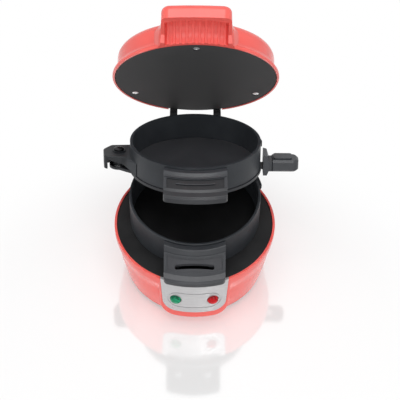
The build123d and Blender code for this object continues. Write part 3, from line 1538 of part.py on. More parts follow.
# Black bracket behind the lid with the two arms that reach the pin.
with BuildPart() as lid_bracket:
    with BuildSketch(Plane.XY.offset(lid_bracket_low)):
        with Locations((0, lid_bracket_back_y - 10)):
            Rectangle(2 * lid_arm_out, 20)
        with Locations((0, lid_centre_y)):
            Circle(lid_wall_radius + wall_gap, mode=Mode.SUBTRACT)
    extrude(amount=lid_bracket_top - lid_bracket_low)
    for side in (-1, 1):
        inner = lid_arm_in if side > 0 else -lid_arm_out
        with BuildSketch(Plane.YZ.offset(inner)):
            with Locations((hinge_y, hinge_z)):
                Circle(knuckle_radius)
            with Locations((lid_bracket_back_y - 4.5, lid_rim_z - 5.0)):
                Circle(4.5)
            make_hull()
            with Locations((hinge_y, hinge_z)):
                Circle(arm_bore, mode=Mode.SUBTRACT)
        extrude(amount=lid_arm_width)
        with BuildSketch(Plane.YZ.offset(inner)):
            Polygon(
                (lid_bracket_back_y, lid_rim_z - 6),
                (lid_bracket_back_y, lid_bracket_low + 4),
                (lid_bracket_back_y - 5.2, lid_bracket_low + 4),
                (lid_bracket_back_y - 5.2, lid_rim_z - 6),
                align=None,
            )
        extrude(amount=lid_arm_width)
    with BuildSketch(Plane.XY.offset(lid_rim_z - 0.5)):
        with Locations((0, lid_centre_y)):
            Circle(lid_plate_radius + wall_gap)
    extrude(amount=seat_z - lid_rim_z + 0.5 + 0.3, mode=Mode.SUBTRACT)
    with BuildSketch(Plane.XZ.offset(-lid_bracket_back_y)):
        with Locations(*[(x, lid_bracket_screw_z) for x in lid_bracket_screws]):
            Circle(screw_radius + shank_gap)
    extrude(amount=20, mode=Mode.SUBTRACT)
    with BuildSketch(Plane.XZ.offset(-lid_bracket_back_y)):
        with Locations(*[(x, lid_bracket_screw_z) for x in lid_bracket_screws]):
            Circle(screw_head_radius + slip_gap)
    extrude(amount=screw_head_height + 0.4, mode=Mode.SUBTRACT)
keep(lid_bracket.part, "lid_hinge_bracket", lid_raise)

with BuildPart() as bracket_screws:
    seat_y = lid_bracket_back_y - screw_head_height - 0.4
    with BuildSketch(Plane.XZ.offset(-seat_y)):
        with Locations(*[(x, lid_bracket_screw_z) for x in lid_bracket_screws]):
            Circle(screw_head_radius)
    extrude(amount=-screw_head_height)
    with BuildSketch(Plane.XZ.offset(-seat_y)):
        with Locations(*[(x, lid_bracket_screw_z) for x in lid_bracket_screws]):
            Circle(screw_radius)
    extrude(amount=screw_length + 1)
keep(bracket_screws.part, "lid_bracket_screws", lid_raise)
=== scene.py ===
import json
import math

import bmesh
import bpy
from mathutils import Matrix, Vector


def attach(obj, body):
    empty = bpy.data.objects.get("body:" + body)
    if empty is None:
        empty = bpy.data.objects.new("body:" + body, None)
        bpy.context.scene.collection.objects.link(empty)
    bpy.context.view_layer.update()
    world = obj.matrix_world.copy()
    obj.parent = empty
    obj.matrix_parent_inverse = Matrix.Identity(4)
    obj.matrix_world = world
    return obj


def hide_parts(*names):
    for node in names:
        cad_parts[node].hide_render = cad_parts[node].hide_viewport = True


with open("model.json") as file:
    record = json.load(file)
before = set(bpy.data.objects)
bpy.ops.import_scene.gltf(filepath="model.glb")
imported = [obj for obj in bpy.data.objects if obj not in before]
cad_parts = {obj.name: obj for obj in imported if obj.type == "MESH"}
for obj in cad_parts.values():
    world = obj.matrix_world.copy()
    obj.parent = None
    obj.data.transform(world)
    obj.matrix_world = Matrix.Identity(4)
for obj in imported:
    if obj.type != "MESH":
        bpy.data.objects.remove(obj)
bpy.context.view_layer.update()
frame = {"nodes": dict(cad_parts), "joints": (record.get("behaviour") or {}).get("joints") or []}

nodes = frame["nodes"]

# --- Camera -----------------------------------------------------------------------------------
# A long lens above and in front of the appliance, a little left of its middle, looking down into
# the open rings.

def put(name, data):
    """An object of the scene that carries the given mesh, lens or lamp."""
    made = bpy.data.objects.new(name, data)
    bpy.context.scene.collection.objects.link(made)
    return made


eye = Vector((-0.00392, -0.75862, 0.95256))
pitch, yaw, roll = math.radians(48.79), math.radians(0.63), math.radians(0.89)
ahead = Vector((math.sin(yaw) * math.cos(pitch), math.cos(yaw) * math.cos(pitch), -math.sin(pitch)))
level = Vector((math.cos(yaw), -math.sin(yaw), 0.0))
upright = level.cross(ahead)
right = math.cos(roll) * level + math.sin(roll) * upright
top = math.cos(roll) * upright - math.sin(roll) * level

lens = bpy.data.cameras.new("product_camera")
lens.sensor_width = 36.0
lens.lens = 117.1
lens.clip_start = 0.01
lens.clip_end = 20.0
camera = put("product_camera", lens)
camera.matrix_world = Matrix((
    (right.x, top.x, -ahead.x, eye.x),
    (right.y, top.y, -ahead.y, eye.y),
    (right.z, top.z, -ahead.z, eye.z),
    (0.0, 0.0, 0.0, 1.0),
))
bpy.context.scene.camera = camera
bpy.context.scene.view_settings.view_transform = "Standard"


# --- Table top and light ----------------------------------------------------------------------
# A polished white acrylic board that mirrors the foot of the bowl and runs out into pure white.
# A wide soft box hangs overhead, weaker ones stand left, right and in front, and a narrow strip
# gives the glints.

class Wire:
    """A value that runs through one finish's nodes."""

    def __init__(self, finish, socket):
        self.finish = finish
        self.socket = socket

    def step(self, operation, *values):
        return self.finish.node("Math", {"operation": operation}, dict(enumerate(values)))

    def __add__(self, other):
        return self.step("ADD", self, other)

    __radd__ = __add__

    def __sub__(self, other):
        return self.step("SUBTRACT", self, other)

    def __rsub__(self, other):
        return self.step("SUBTRACT", other, self)

    def __mul__(self, other):
        return self.step("MULTIPLY", self, other)

    __rmul__ = __mul__

    def __pow__(self, other):
        return self.step("POWER", self, other)

    def __abs__(self):
        return self.step("ABSOLUTE", self)

    def between(self, low, high):
        """0 at low, 1 at high and a soft ramp from one to the other."""
        return self.finish.node(
            "MapRange", {"interpolation_type": "SMOOTHSTEP"},
            {"Value": self, "From Min": low, "From Max": high, "To Min": 0.0, "To Max": 1.0},
        )


class Finish:
    """One material: node() adds any node, and surface() ends the graph in one shader."""

    def __init__(self, name, tree=None):
        if tree is None:
            self.material = bpy.data.materials.new(name)
            self.material.use_nodes = True
            tree = self.material.node_tree
        self.tree = tree
        self.tree.nodes.clear()

    def node(self, kind, settings=None, inputs=None, out=0):
        made = self.tree.nodes.new("ShaderNode" + kind)
        for key, value in (settings or {}).items():
            setattr(made, key, value)
        for key, value in (inputs or {}).items():
            if isinstance(value, Wire):
                self.tree.links.new(value.socket, made.inputs[key])
            else:
                made.inputs[key].default_value = value
        return Wire(self, made.outputs[out]) if len(made.outputs) else None

    def place(self, origin=(0.0, 0.0, 0.0), lean=0.0):
        """Coordinates in a piece's own frame: its origin, and how far it leans about the hinge line."""
        spot = self.node("TexCoord", out="Object")
        return self.node(
            "Mapping", {"vector_type": "TEXTURE"},
            {"Vector": spot, "Location": origin, "Rotation": (-math.radians(lean), 0.0, 0.0)},
        )

    def axes(self, where):
        """The three coordinates of a place, each as a value."""
        return [self.node("SeparateXYZ", None, {0: where}, out=i) for i in range(3)]

    def noise(self, where, scale, detail):
        return self.node(
            "TexNoise", None,
            {"Vector": where, "Scale": scale, "Detail": detail, "Roughness": 0.55},
        )

    def mix(self, share, first, second):
        return self.node("Mix", {"data_type": "RGBA"}, {0: share, 6: first, 7: second}, out=2)

    def bump(self, height, strength, distance):
        return self.node("Bump", None, {"Height": height, "Strength": strength, "Distance": distance})

    def surface(self, **inputs):
        sockets = {name.replace("_", " "): value for name, value in inputs.items()}
        shader = self.node("BsdfPrincipled", None, sockets)
        self.node("OutputMaterial", None, {"Surface": shader})
        return self.material


def grey(tone):
    """A plain grey, as the share of the light that it sends back."""
    return (tone, tone, tone, 1.0)


def in_view(finish):
    """1 for what the camera sees, straight or mirrored, and 0 for light scattered on to things."""
    seen = finish.node("LightPath", out="Is Camera Ray") + finish.node("LightPath", out="Is Glossy Ray")
    return seen.step("MINIMUM", seen, 1.0)


def white_acrylic():
    """Glossy white around a place in front of the bowl's axis, pure white further out, and a
    mirror that fades to the front."""
    front, fade_end = 0.12, 0.34
    white_start, white_end = 0.19, 0.28
    tone, tone_in_view, glow = 0.86, 0.50, 0.49
    mirror_near, mirror_lost = 0.22, 0.17
    board = Finish("white_acrylic")
    seen = in_view(board)
    x, y, _ = board.axes(board.node("TexCoord", out="Object"))
    ahead_of_front = y + front
    far = (x * x + ahead_of_front * ahead_of_front) ** 0.5
    matt = board.node("BsdfDiffuse", None, {"Color": board.mix(seen, grey(tone), grey(tone_in_view))})
    lift = board.node("Emission", None, {"Color": grey(1.0), "Strength": seen * glow})
    lit = board.node("AddShader", None, {0: matt, 1: lift})
    mirror = board.node("BsdfGlossy", None, {"Color": grey(1.0), "Roughness": 0.07})
    shine = mirror_near - (0.0 - y).between(front, fade_end) * mirror_lost
    polished = board.node("MixShader", None, {0: shine, 1: lit, 2: mirror})
    pure = board.node("Emission", None, {"Color": grey(1.0), "Strength": 1.0})
    white = far.between(white_start, white_end) * seen
    surface = board.node("MixShader", None, {0: white, 1: polished, 2: pure})
    board.node("OutputMaterial", None, {"Surface": surface})
    return board.material


board_half = 3.0
board_corners = [(x * board_half, y * board_half, 0.0) for x, y in ((-1, -1), (1, -1), (1, 1), (-1, 1))]
board_mesh = bpy.data.meshes.new("table_top")
board_mesh.from_pydata(board_corners, [], [(0, 1, 2, 3)])
board_mesh.materials.append(white_acrylic())
put("table_top", board_mesh)

world = bpy.data.worlds.new("studio")
bpy.context.scene.world = world
world.use_nodes = True
room = Finish("studio", world.node_tree)
walls = room.node("Background", None, {"Color": grey(1.0), "Strength": 0.32})
backdrop = room.node("Background", None, {"Color": grey(1.0), "Strength": 1.0})
studio = room.node("MixShader", None, {0: in_view(room), 1: walls, 2: backdrop})
room.node("OutputWorld", None, {"Surface": studio})


def soft_box(name, place, aim, size, watts):
    """A rectangular lamp at a place, turned to the spot that it aims at."""
    lamp = bpy.data.lights.new(name, "AREA")
    lamp.shape = "RECTANGLE"
    lamp.size, lamp.size_y = size
    lamp.energy = watts
    box = put(name, lamp)
    box.location = place
    box.rotation_mode = "QUATERNION"
    box.rotation_quaternion = (Vector(aim) - Vector(place)).to_track_quat("-Z", "Y")


soft_box("overhead_box", place=(0.0, -0.15, 1.5), aim=(0.0, 0.0, 0.1), size=(1.2, 0.9), watts=12.0)
soft_box("left_box", place=(-1.3, -0.6, 0.9), aim=(0.0, 0.0, 0.12), size=(0.9, 0.9), watts=4.0)
soft_box("right_box", place=(1.3, -0.5, 0.8), aim=(0.0, 0.0, 0.12), size=(0.9, 0.9), watts=3.0)
soft_box("front_box", place=(0.1, -1.6, 0.45), aim=(0.0, 0.0, 0.08), size=(1.4, 0.5), watts=5.0)
soft_box("glint_strip", place=(0.35, -0.75, 1.45), aim=(0.0, 0.0, 0.15), size=(0.5, 0.06), watts=1.6)


# --- Bowl -------------------------------------------------------------------------------------
# The housing of the base: one injection moulding in high-gloss coral plastic, 2.5 mm thick, with
# a faint orange peel. The visor that carries the control panel is moulded with it.

mm = 0.001


def shade(red, green, blue):
    """A colour given as it looks on a screen, 0 to 255."""
    parts = [value / 255 for value in (red, green, blue)]
    return (*(v / 12.92 if v < 0.04045 else ((v + 0.055) / 1.055) ** 2.4 for v in parts), 1.0)


def dress(material, *names, crease=32):
    """Gives moulded and turned parts their finish, with round faces smooth and edges sharp."""
    for name in names:
        mesh = nodes[name].data
        mesh.materials.clear()
        mesh.materials.append(material)
        mesh.shade_smooth()
        mesh.set_sharp_from_angle(angle=math.radians(crease))


def coral_gloss():
    skin = Finish("coral_gloss")
    where = skin.place()
    cloud = skin.noise(where, 18.0, 2.0)
    peel = skin.noise(where, 420.0, 2.0)
    smear = skin.noise(where, 60.0, 4.0)
    return skin.surface(
        Base_Color=skin.mix(cloud.between(0.3, 0.7), shade(243, 97, 90), shade(246, 104, 96)),
        Roughness=0.17 + smear.between(0.35, 0.75) * 0.07,
        Specular_IOR_Level=0.34,
        Coat_Weight=0.08,
        Coat_Roughness=0.04,
        Normal=skin.bump(peel, 0.03, 0.4 * mm),
    )


coral = coral_gloss()
dress(coral, "base_housing")


# --- Bottom cover and cord gland --------------------------------------------------------------
# Plain black plastic mouldings with a fine spark-eroded grain. The cover closes the bowl from
# below, and the gland lines the opening where the cord goes in.

def moulded(name, pale, grain_size=1300.0, gloss=0.36):
    """Moulded plastic with a fine grain, a little darker here and there."""
    skin = Finish(name)
    where = skin.place()
    grain = skin.noise(where, grain_size, 2.0)
    wear = skin.noise(where, 55.0, 4.0)
    worn = [part - 6 for part in pale]
    return skin.surface(
        Base_Color=skin.mix(wear.between(0.35, 0.7), shade(*worn), shade(*pale)),
        Roughness=gloss + grain.between(0.35, 0.7) * 0.14,
        Specular_IOR_Level=0.4,
        Normal=skin.bump(grain, 0.12, 0.25 * mm),
    )


black_plastic = moulded("black_plastic", (42, 42, 44))
dress(black_plastic, "bottom_cover", "cord_gland")


# --- Rubber feet ------------------------------------------------------------------------------
# Four soft discs moulded in black rubber and pressed into sockets of the cover. They have picked
# up a little dust where they stand.

def rubber(dust_height=1.2 * mm):
    skin = Finish("foot_rubber")
    where = skin.place()
    height = skin.axes(where)[2]
    grain = skin.noise(where, 800.0, 3.0)
    dust = (1.0 - height.between(0.0, dust_height)) * skin.noise(where, 260.0, 4.0).between(0.4, 0.7)
    clean = skin.mix(grain.between(0.3, 0.7), shade(32, 32, 33), shade(42, 42, 43))
    return skin.surface(
        Base_Color=skin.mix(dust * 0.5, clean, shade(92, 90, 86)),
        Roughness=0.72 + grain.between(0.3, 0.7) * 0.14,
        Normal=skin.bump(grain, 0.2, 0.3 * mm),
    )


dress(rubber(), "rubber_feet")


# --- Cover screws -----------------------------------------------------------------------------
# Zinc-plated pan-head screws with a cross recess and a coarse thread for plastic. They hold the
# cover from below, and the rest of the appliance uses the same kind.

touching = 0.01 * mm
joints = {joint["name"]: joint for joint in frame["joints"]}
hinge = Vector(joints["lid_hinge"]["pos_m"])
ring_lean = -joints["upper_ring_hinge"]["range_deg"][0]
lid_lean = ring_lean - joints["lid_hinge"]["range_deg"][0]


def raised(lean):
    """The move that tips a body of the shut appliance back about the hinge pin."""
    turn = Matrix.Rotation(-math.radians(lean), 4, "X")
    return Matrix.Translation(hinge) @ turn @ Matrix.Translation(-hinge)


def solids_of(name, lean):
    """The corners of each separate solid of a node, in the shut appliance's frame."""
    back = raised(lean).inverted()
    mesh = nodes[name].data
    spots = [back @ v.co for v in mesh.vertices]
    first_at, linked = {}, {}
    keys = [first_at.setdefault(tuple(round(c, 6) for c in spot), i) for i, spot in enumerate(spots)]

    def root(i):
        while linked.setdefault(i, i) != i:
            i = linked[i]
        return i

    for edge in mesh.edges:
        a, b = (root(keys[v]) for v in edge.vertices)
        linked[max(a, b)] = min(a, b)
    solids = {}
    for key, spot in zip(keys, spots):
        solids.setdefault(root(key), []).append(spot)
    return [solids[k] for k in sorted(solids)]


def measured(solid, axis):
    """Sizes of a plain stepped screw, the middle of its head's top and the way that it points."""
    low = [min(v[i] for v in solid) for i in range(3)]
    high = [max(v[i] for v in solid) for i in range(3)]
    middle = [(a + b) / 2 for a, b in zip(low, high)]
    across = [i for i in range(3) if i != axis]

    def reach(v):
        return math.hypot(*(v[i] - middle[i] for i in across))

    head_radius = max(reach(v) for v in solid)
    at_low = max(reach(v) for v in solid if v[axis] - low[axis] < touching)
    at_high = max(reach(v) for v in solid if high[axis] - v[axis] < touching)
    head_first = at_low > at_high
    end = low[axis] if head_first else high[axis]
    start = Vector(middle)
    start[axis] = end
    pointing = Vector((0.0, 0.0, 0.0))
    pointing[axis] = 1.0 if head_first else -1.0
    head_height = max(abs(v[axis] - end) for v in solid if reach(v) > head_radius - 2 * touching)
    sizes = (head_radius, head_height, min(at_low, at_high), high[axis] - low[axis])
    return sizes, start, pointing


def ring_of(work, radius, along, count, shift=0.0):
    """Corners set evenly around the Z axis, or the single one on it."""
    if radius == 0.0:
        return [work.verts.new((0.0, 0.0, along))]
    angles = [2 * math.pi * (i + shift) / count for i in range(count)]
    return [work.verts.new((radius * math.cos(a), radius * math.sin(a), along)) for a in angles]


def as_mesh(work, name):
    """The mesh of a finished piece of work."""
    mesh = bpy.data.meshes.new(name)
    work.to_mesh(mesh)
    work.free()
    return mesh


def turned(name, profile, sides=40):
    """A turned part: a profile of (radius, distance along the axis), outermost end first."""
    work = bmesh.new()
    rings = [ring_of(work, radius, along, sides) for radius, along in profile]
    for here, there in zip(rings, rings[1:]):
        for i in range(sides):
            j = (i + 1) % sides
            corners = [here[i % len(here)], here[j % len(here)]]
            corners += [there[j % len(there)], there[i % len(there)]]
            work.faces.new(list(dict.fromkeys(corners)))
    bmesh.ops.recalc_face_normals(work, faces=work.faces)
    return as_mesh(work, name)


def blank_screw(name, head_radius, head_height, shank_radius, length):
    """A screw along +Z without its recess: the head's top is at z = 0 and the tip at z = length."""
    crown, rim, edge = head_height * 0.42, head_height * 0.86, 1.25
    profile = [(0.0, 0.0)]
    for angle in (0.3, 0.55, 0.8, 1.05, edge):
        rise = crown * (1 - math.cos(angle)) / (1 - math.cos(edge))
        profile.append((head_radius * math.sin(angle), rise))
    profile += [
        (head_radius, crown + 0.08 * mm),
        (head_radius, rim),
        (head_radius - 0.1 * mm, head_height),
        (shank_radius, head_height),
    ]
    root_radius, point_radius = shank_radius * 0.78, shank_radius * 0.3
    neck, pitch = 0.6 * mm, 0.9 * mm
    thread = ((root_radius, 0.0), (shank_radius, 0.4), (shank_radius, 0.52), (root_radius, 0.92))
    along, tip = head_height + neck, length - shank_radius
    while along + pitch < tip:
        profile += [(radius, along + pitch * share) for radius, share in thread]
        along += pitch
    profile += [(root_radius, tip), (point_radius, length - 0.2 * mm), (0.0, length)]
    return turned(name, profile)


def cross_recess(name, head_radius, head_height):
    """The room of a cross recess: two crossed wedges that narrow into the head."""
    half_long, half_wide, depth = head_radius * 0.56, head_radius * 0.13, head_height * 0.62
    floor_long, floor_wide, above = half_long * 0.45, half_wide * 0.7, -0.5 * mm
    work = bmesh.new()
    for turn in (0.0, math.pi / 2):
        corners = bmesh.ops.create_cube(work, size=2.0)["verts"]
        for v in corners:
            if v.co.z > 0:
                v.co = Vector((v.co.x * floor_long, v.co.y * floor_wide, depth))
            else:
                v.co = Vector((v.co.x * half_long, v.co.y * half_wide, above))
        bmesh.ops.rotate(work, verts=corners, cent=(0, 0, 0), matrix=Matrix.Rotation(turn, 3, "Z"))
    return as_mesh(work, name + "_recess")


def screw_mesh(name, head_radius, head_height, shank_radius, length):
    """A finished screw along +Z: the blank with the recess cut into its head."""
    blank = put(name + "_blank", blank_screw(name, head_radius, head_height, shank_radius, length))
    recess = put(name + "_recess", cross_recess(name, head_radius, head_height))
    cut = blank.modifiers.new("cross", "BOOLEAN")
    cut.operation = "DIFFERENCE"
    cut.object = recess
    cut.solver = "EXACT"
    cut.use_self = True
    done = bpy.data.meshes.new_from_object(blank.evaluated_get(bpy.context.evaluated_depsgraph_get()))
    for piece in (blank, recess):
        bpy.data.objects.remove(piece)
    return done


def screws(name, body, lean, material, along="z"):
    """Real screws in the place of a node's plain ones, each head at the wider end of its solid."""
    first_turn, turn_step, thread_crease = 0.5, 1.3, 35
    axis = "xyz".index(along)
    plain = [measured(solid, axis) for solid in solids_of(name, lean)]
    first_sizes, _, _ = plain[0]
    pattern = screw_mesh(name, *first_sizes)
    work = bmesh.new()
    for number, (_, start, pointing) in enumerate(plain):
        aim = Vector((0, 0, 1)).rotation_difference(pointing).to_matrix().to_4x4()
        spin = Matrix.Rotation(first_turn + turn_step * number, 4, "Z")
        single = pattern.copy()
        single.transform(raised(lean) @ Matrix.Translation(start) @ aim @ spin)
        work.from_mesh(single)
        bpy.data.meshes.remove(single)
    mesh = as_mesh(work, name + "_turned")
    mesh.materials.append(material)
    mesh.shade_smooth()
    mesh.set_sharp_from_angle(angle=math.radians(thread_crease))
    piece = put(name + "_turned", mesh)
    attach(piece, body)
    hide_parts(name)


def plated(name, pale, rough=0.26):
    """Plated or bare metal with fine streaks and a trace of tarnish."""
    skin = Finish(name)
    where = skin.place()
    streak = skin.noise(where, 700.0, 3.0)
    tarnish = skin.noise(where, 130.0, 4.0)
    dark, darker_tone = [part - 20 for part in pale], [part * 0.72 for part in pale]
    bright = skin.mix(streak.between(0.3, 0.7), shade(*dark), shade(*pale))
    return skin.surface(
        Base_Color=skin.mix(tarnish.between(0.5, 0.8) * 0.3, bright, shade(*darker_tone)),
        Metallic=1.0,
        Roughness=rough + streak.between(0.3, 0.7) * 0.12,
        Normal=skin.bump(streak, 0.05, 0.2 * mm),
    )


zinc = plated("zinc_plate", (232, 233, 235))
screws("cover_screws", "base", 0.0, zinc)


# --- Lower heater -----------------------------------------------------------------------------
# A sheathed element lies in a cast clamp ring under the heated plate, held by three screws, with
# its thermostat, thermal fuse and mains terminals beside it.

def sheath():
    skin = Finish("element_sheath")
    where = skin.place()
    scale = skin.noise(where, 240.0, 4.0)
    heat = skin.noise(where, 34.0, 3.0)
    cold = skin.mix(scale.between(0.35, 0.65), shade(112, 104, 96), shade(140, 132, 124))
    return skin.surface(
        Base_Color=skin.mix(heat.between(0.45, 0.7), cold, shade(96, 74, 60)),
        Metallic=0.85,
        Roughness=0.42 + scale.between(0.3, 0.7) * 0.16,
        Normal=skin.bump(scale, 0.12, 0.3 * mm),
    )


def die_cast():
    skin = Finish("die_cast")
    where = skin.place()
    grain = skin.noise(where, 620.0, 4.0)
    return skin.surface(
        Base_Color=skin.mix(grain.between(0.3, 0.7), shade(150, 151, 153), shade(184, 185, 187)),
        Metallic=0.9,
        Roughness=0.44 + grain.between(0.3, 0.7) * 0.14,
        Normal=skin.bump(grain, 0.25, 0.3 * mm),
    )


element_sheath, clamp_metal = sheath(), die_cast()
dress(element_sheath, "bottom_heating_element")
dress(clamp_metal, "bottom_heater_clamp")
screws("bottom_clamp_screws", "base", 0.0, zinc)
dress(moulded("thermostat_moulding", (196, 186, 168), grain_size=900.0, gloss=0.5), "thermostat")
dress(plated("brass", (214, 176, 98)), "thermal_fuse")
dress(zinc, "fuse_clip")
dress(moulded("terminal_moulding", (70, 68, 66), grain_size=900.0, gloss=0.4), "terminal_block")


# --- Lower heated plate -----------------------------------------------------------------------
# Pressed aluminium, turned smooth and sprayed with a dark non-stick coat that keeps faint turning
# rings and fine flakes. Three screws draw it on to its seat.

def tipped(finish, lean):
    """Coordinates that tip back with a body and read as they do on the shut appliance."""
    return finish.place(raised(lean) @ Vector(), lean)


def non_stick(name, lean, tone, rough, ring_spacing=1.1 * mm):
    """The dark coat of a heated plate, with turning rings around the appliance's axis."""
    coat = Finish(name)
    where = tipped(coat, lean)
    x, y, _ = coat.axes(where)
    radius = (x * x + y * y) ** 0.5
    turning = radius * (2 * math.pi / ring_spacing)
    rings = turning.step("SINE", turning)
    flakes = coat.noise(where, 1900.0, 2.0).between(0.62, 0.74)
    cloud = coat.noise(where, 35.0, 4.0)
    dark, pale = [part - 5 for part in tone], [part + 26 for part in tone]
    body = coat.mix(cloud.between(0.3, 0.7), shade(*dark), shade(*tone))
    return coat.surface(
        Base_Color=coat.mix(flakes * 0.35, body, shade(*pale)),
        Roughness=rough + cloud.between(0.3, 0.8) * 0.10,
        Specular_IOR_Level=0.22,
        Normal=coat.bump(rings * 0.5 + flakes * 0.5, 0.03, 0.2 * mm),
    )


# The lower plate's coat is set darker than the lid plate's, as painted shade.
dress(non_stick("non_stick_lower", 0.0, (36, 36, 37), rough=0.30), "bottom_plate")
screws("bottom_plate_screws", "base", 0.0, zinc)


# --- Control panel ----------------------------------------------------------------------------
# A separate moulding set into the visor and lacquered satin silver, with faint streaks across. A
# fine channel rings the two lamps.

def silver_lacquer():
    skin = Finish("silver_lacquer")
    where = skin.place()
    drawn = skin.node("Mapping", None, {"Vector": where, "Scale": (0.06, 1.0, 1.0)})
    satin = skin.noise(drawn, 900.0, 2.0)
    flake = skin.noise(where, 3800.0, 1.0)
    cloud = skin.noise(where, 30.0, 3.0)
    lacquer = skin.mix(satin.between(0.3, 0.7), shade(187, 187, 188), shade(195, 195, 196))
    return skin.surface(
        Base_Color=skin.mix(flake.between(0.5, 0.8) * 0.2, lacquer, shade(210, 210, 211)),
        Metallic=0.7,
        Roughness=0.27 + cloud.between(0.3, 0.7) * 0.06,
        Normal=skin.bump(satin, 0.012, 0.1 * mm),
    )


dress(silver_lacquer(), "control_panel")


# --- Indicator lights -------------------------------------------------------------------------
# Rose-cut jewels moulded in clear coloured plastic, green for ready and red for on, each pushed
# into the panel over a small neon lamp in its holder.

panel_radius, lamp_spread, lamp_height = 72.3 * mm, 16.4 * mm, 33.9 * mm
lamp_angle = math.asin(lamp_spread / panel_radius)


def jewel(name, deep, glow, centre):
    """Clear coloured plastic that glows a little, most in its middle, with cells of painted glint that
    stand in for light caught on its facets.
    """
    glass = Finish(name)
    where = glass.place(centre)
    x, _, z = glass.axes(where)
    radius = (x * x + z * z) ** 0.5
    heart = 1.0 - radius.between(0.4 * mm, 4.6 * mm)
    cells = glass.node("TexVoronoi", {"feature": "F1"}, {"Vector": where, "Scale": 520.0}, out="Color")
    # Painted glint: cells of lighter colour, which also glow, stand in for light caught on the facets.
    painted_glint = glass.axes(cells)[0].between(0.35, 0.95)
    tone = glass.mix(heart * 0.45 + painted_glint * 0.55, deep, glow)
    return glass.surface(
        Base_Color=tone,
        Emission_Color=tone,
        Emission_Strength=0.10,
        Specular_IOR_Level=0.16,
        Roughness=0.08 + painted_glint * 0.08,
    )


def bridge(work, lower, upper):
    """Triangles between two rings of corners, the upper with as many corners or fewer."""
    many, few = len(lower), len(upper)
    i = j = 0
    while i < many or j < few:
        a, b = lower[i % many], upper[j % few]
        if j == few or (i < many and (i + 1) / many <= (j + 1) / few):
            work.faces.new((a, lower[(i + 1) % many], b))
            i += 1
        else:
            work.faces.new((a, upper[(j + 1) % few], b))
            j += 1


def rose_cut(name):
    """A jewel along +Z with the panel's face at z = 0: a round stem, a girdle and three rows of facets."""
    stem, girdle, shoulder = (5.0, -6.2, 24, 0.0), (5.0, 0.3, 24, 0.0), (4.84, 0.5, 24, 0.0)
    facets = (4.5, 1.5, 12, 0.5), (3.5, 2.4, 12, 0.0), (1.7, 2.94, 6, 0.5)
    work = bmesh.new()
    rings = [
        ring_of(work, radius * mm, rise * mm, count, shift)
        for radius, rise, count, shift in (stem, girdle, shoulder, *facets)
    ]
    work.faces.new(rings[0][::-1])
    for lower, upper in zip(rings, rings[1:]):
        bridge(work, lower, upper)
    work.faces.new(rings[-1])
    bmesh.ops.recalc_face_normals(work, faces=work.faces)
    return as_mesh(work, name)


def cut_jewel(name, node, side, deep, glow):
    """A jewel in its place in the panel: side is -1 for the left lamp and 1 for the right one."""
    out = Vector((side * math.sin(lamp_angle), -math.cos(lamp_angle), 0.0))
    centre = panel_radius * out + Vector((0.0, 0.0, lamp_height))
    mesh = rose_cut(name)
    mesh.transform(Matrix.Translation(centre) @ out.to_track_quat("Z", "Y").to_matrix().to_4x4())
    mesh.materials.append(jewel(name + "_plastic", deep, glow, centre))
    mesh.shade_flat()
    piece = put(name, mesh)
    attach(piece, "base")
    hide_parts(node)
    return piece


green_jewel = cut_jewel("green_jewel", "green_light_lens", -1, shade(0, 92, 62), shade(24, 176, 124))
red_jewel = cut_jewel("red_jewel", "red_light_lens", 1, shade(146, 0, 12), shade(224, 14, 24))
dress(black_plastic, "lamp_holders")


# --- Hinge tower ------------------------------------------------------------------------------
# A black bracket screwed to the back of the bowl with four screws. A plated steel pin runs through
# its ears and all three hinged bodies, and a spring clip sits in a groove at each end.

dress(black_plastic, "hinge_bracket")
screws("hinge_bracket_screws", "base", 0.0, zinc, along="y")
dress(zinc, "hinge_pin", "pin_clips")


# --- Lower ring -------------------------------------------------------------------------------
# A die-cast aluminium ring sprayed with a thicker, matt slate-grey non-stick coat. Its finger
# lever is heat-proof plastic, held from below by two screws.

ring_centre_y = 7.6 * mm
lever_crease = 26


def ring_coat(name, lean, lug_start=58.8 * mm, lug_full=59.8 * mm):
    """The coat of a ring, a shade darker on the lug that stands out at the upper one's left."""
    coat = Finish(name)
    where = tipped(coat, lean)
    grain = coat.noise(where, 900.0, 3.0)
    cloud = coat.noise(where, 40.0, 4.0)
    wall = coat.mix(cloud.between(0.3, 0.7), shade(38, 41, 45), shade(46, 49, 53))
    lug = (0.0 - coat.axes(where)[0]).between(lug_start, lug_full)
    slate = coat.mix(lug * 0.75, wall, shade(20, 22, 25))
    flakes = coat.noise(where, 2200.0, 2.0).between(0.64, 0.74)
    return coat.surface(
        Base_Color=coat.mix(flakes * 0.3, slate, shade(84, 87, 91)),
        Roughness=0.42 + cloud.between(0.3, 0.8) * 0.10,
        Specular_IOR_Level=0.3,
        Normal=coat.bump(grain, 0.10, 0.3 * mm),
    )


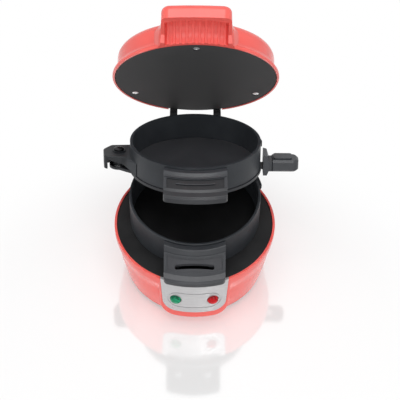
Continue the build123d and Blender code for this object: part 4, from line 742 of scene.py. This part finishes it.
def lever_plastic(name, lean, wall, base, top_up, dark):
    """Dark grey grained plastic. The recessed panel of the lever's sloping face is rougher and is
    painted darker, in the dark tone given, as painted shade; the lip below it takes part of that
    painted shade. The lever starts at the ring's wall and base height."""
    skin = Finish(name)
    where = tipped(skin, lean)
    x, y, z = skin.axes(where)
    back = y - ring_centre_y
    out = (x * x + back * back) ** 0.5 - wall
    up = z - base
    top_out, foot_out, foot_up, half_width = 7.34 * mm, 18.6 * mm, 11.8 * mm, 23.8 * mm
    run, drop = foot_out - top_out, foot_up - top_up
    slope = math.hypot(run, drop)
    share = ((out - top_out) * run + (up - top_up) * drop) * (1 / slope ** 2)
    lift = ((up - top_up) * run - (out - top_out) * drop) * (1 / slope)
    lip = share.between(0.93, 0.99)
    beside = abs(x).between(half_width, half_width + 0.5 * mm)
    proud = lift.between(-0.4 * mm, -0.1 * mm)
    panel = share.between(0.13, 0.19) * (1.0 - lip) * (1.0 - beside) * (1.0 - proud)
    grain = skin.noise(where, 1300.0, 2.0)
    wear = skin.noise(where, 55.0, 4.0).between(0.35, 0.7)
    rails = skin.mix(wear, shade(48, 50, 54), shade(55, 57, 61))
    # Painted shade: the darker tone that the recessed panel, and the lip in part, take in place of the
    # rails' colour.
    darker_tone = skin.mix(wear, shade(dark - 6, dark - 5, dark - 1), shade(dark, dark + 1, dark + 5))
    return skin.surface(
        Base_Color=skin.mix(panel + lip * 0.6, rails, darker_tone),
        Roughness=0.33 + grain.between(0.35, 0.7) * 0.12 + panel * 0.12,
        Specular_IOR_Level=0.4,
        Normal=skin.bump(grain + panel * grain, 0.12, 0.25 * mm),
    )


lower_lever = lever_plastic(
    "lever_plastic_lower", 0.0, wall=58.4 * mm, base=57.3 * mm, top_up=20.7 * mm, dark=54
)
dress(ring_coat("ring_coat_lower", 0.0), "lower_ring")
dress(lower_lever, "lower_ring_handle", crease=lever_crease)
screws("lower_handle_screws", "lower_ring_body", 0.0, zinc)


# --- Upper ring -------------------------------------------------------------------------------
# Cast and coated like the lower one. Its side lug carries the pivot of the swing plate: a black
# shouldered screw, a thin washer and a hexagon nut.

# The upper lever's far darker tone, 22 against 54 on the lower one, is painted shade.
upper_lever = lever_plastic(
    "lever_plastic_upper", ring_lean, wall=57.2 * mm, base=89.1 * mm, top_up=17.2 * mm, dark=22
)
black_oxide = plated("black_oxide", (60, 60, 62), rough=0.34)
dress(ring_coat("ring_coat_upper", ring_lean), "upper_ring")
dress(upper_lever, "upper_ring_handle", crease=lever_crease)
screws("upper_handle_screws", "upper_ring_body", ring_lean, zinc)
screws("pivot_screw", "upper_ring_body", ring_lean, black_oxide)
dress(zinc, "pivot_nut", "pivot_washer")


# --- Swing plate ------------------------------------------------------------------------------
# The thin coated plate between the rings swings out sideways on its pivot. A grip of the same
# grey plastic is screwed to its tang, with a guard next to the ring.

dress(non_stick("non_stick_swing", ring_lean, (52, 53, 56), rough=0.36), "swing_plate")
dress(moulded("grip_plastic", (54, 56, 60)), "swing_plate_handle", crease=lever_crease)
screws("swing_handle_screws", "swing_plate_body", ring_lean, zinc)


# --- Lid --------------------------------------------------------------------------------------
# The lid shell is moulded in the bowl's coral plastic with its ribbed finger scoop. Its heated
# plate, element and clamp ring match the lower ones, though the plate's coat is painted lighter as
# painted light, and a black bracket ties it to the pin.

bright_nickel = plated("bright_nickel", (246, 246, 247), rough=0.42)
dress(coral, "lid_shell")
# The lid plate's coat is set lighter than the lower plate's, as painted light.
dress(non_stick("non_stick_lid", lid_lean, (64, 64, 65), rough=0.60), "lid_plate")
screws("lid_plate_screws", "lid", lid_lean, bright_nickel)
dress(element_sheath, "lid_heating_element")
dress(clamp_metal, "lid_heater_clamp")
screws("lid_clamp_screws", "lid", lid_lean, zinc)
dress(black_plastic, "lid_hinge_bracket")
screws("lid_bracket_screws", "lid", lid_lean, zinc)
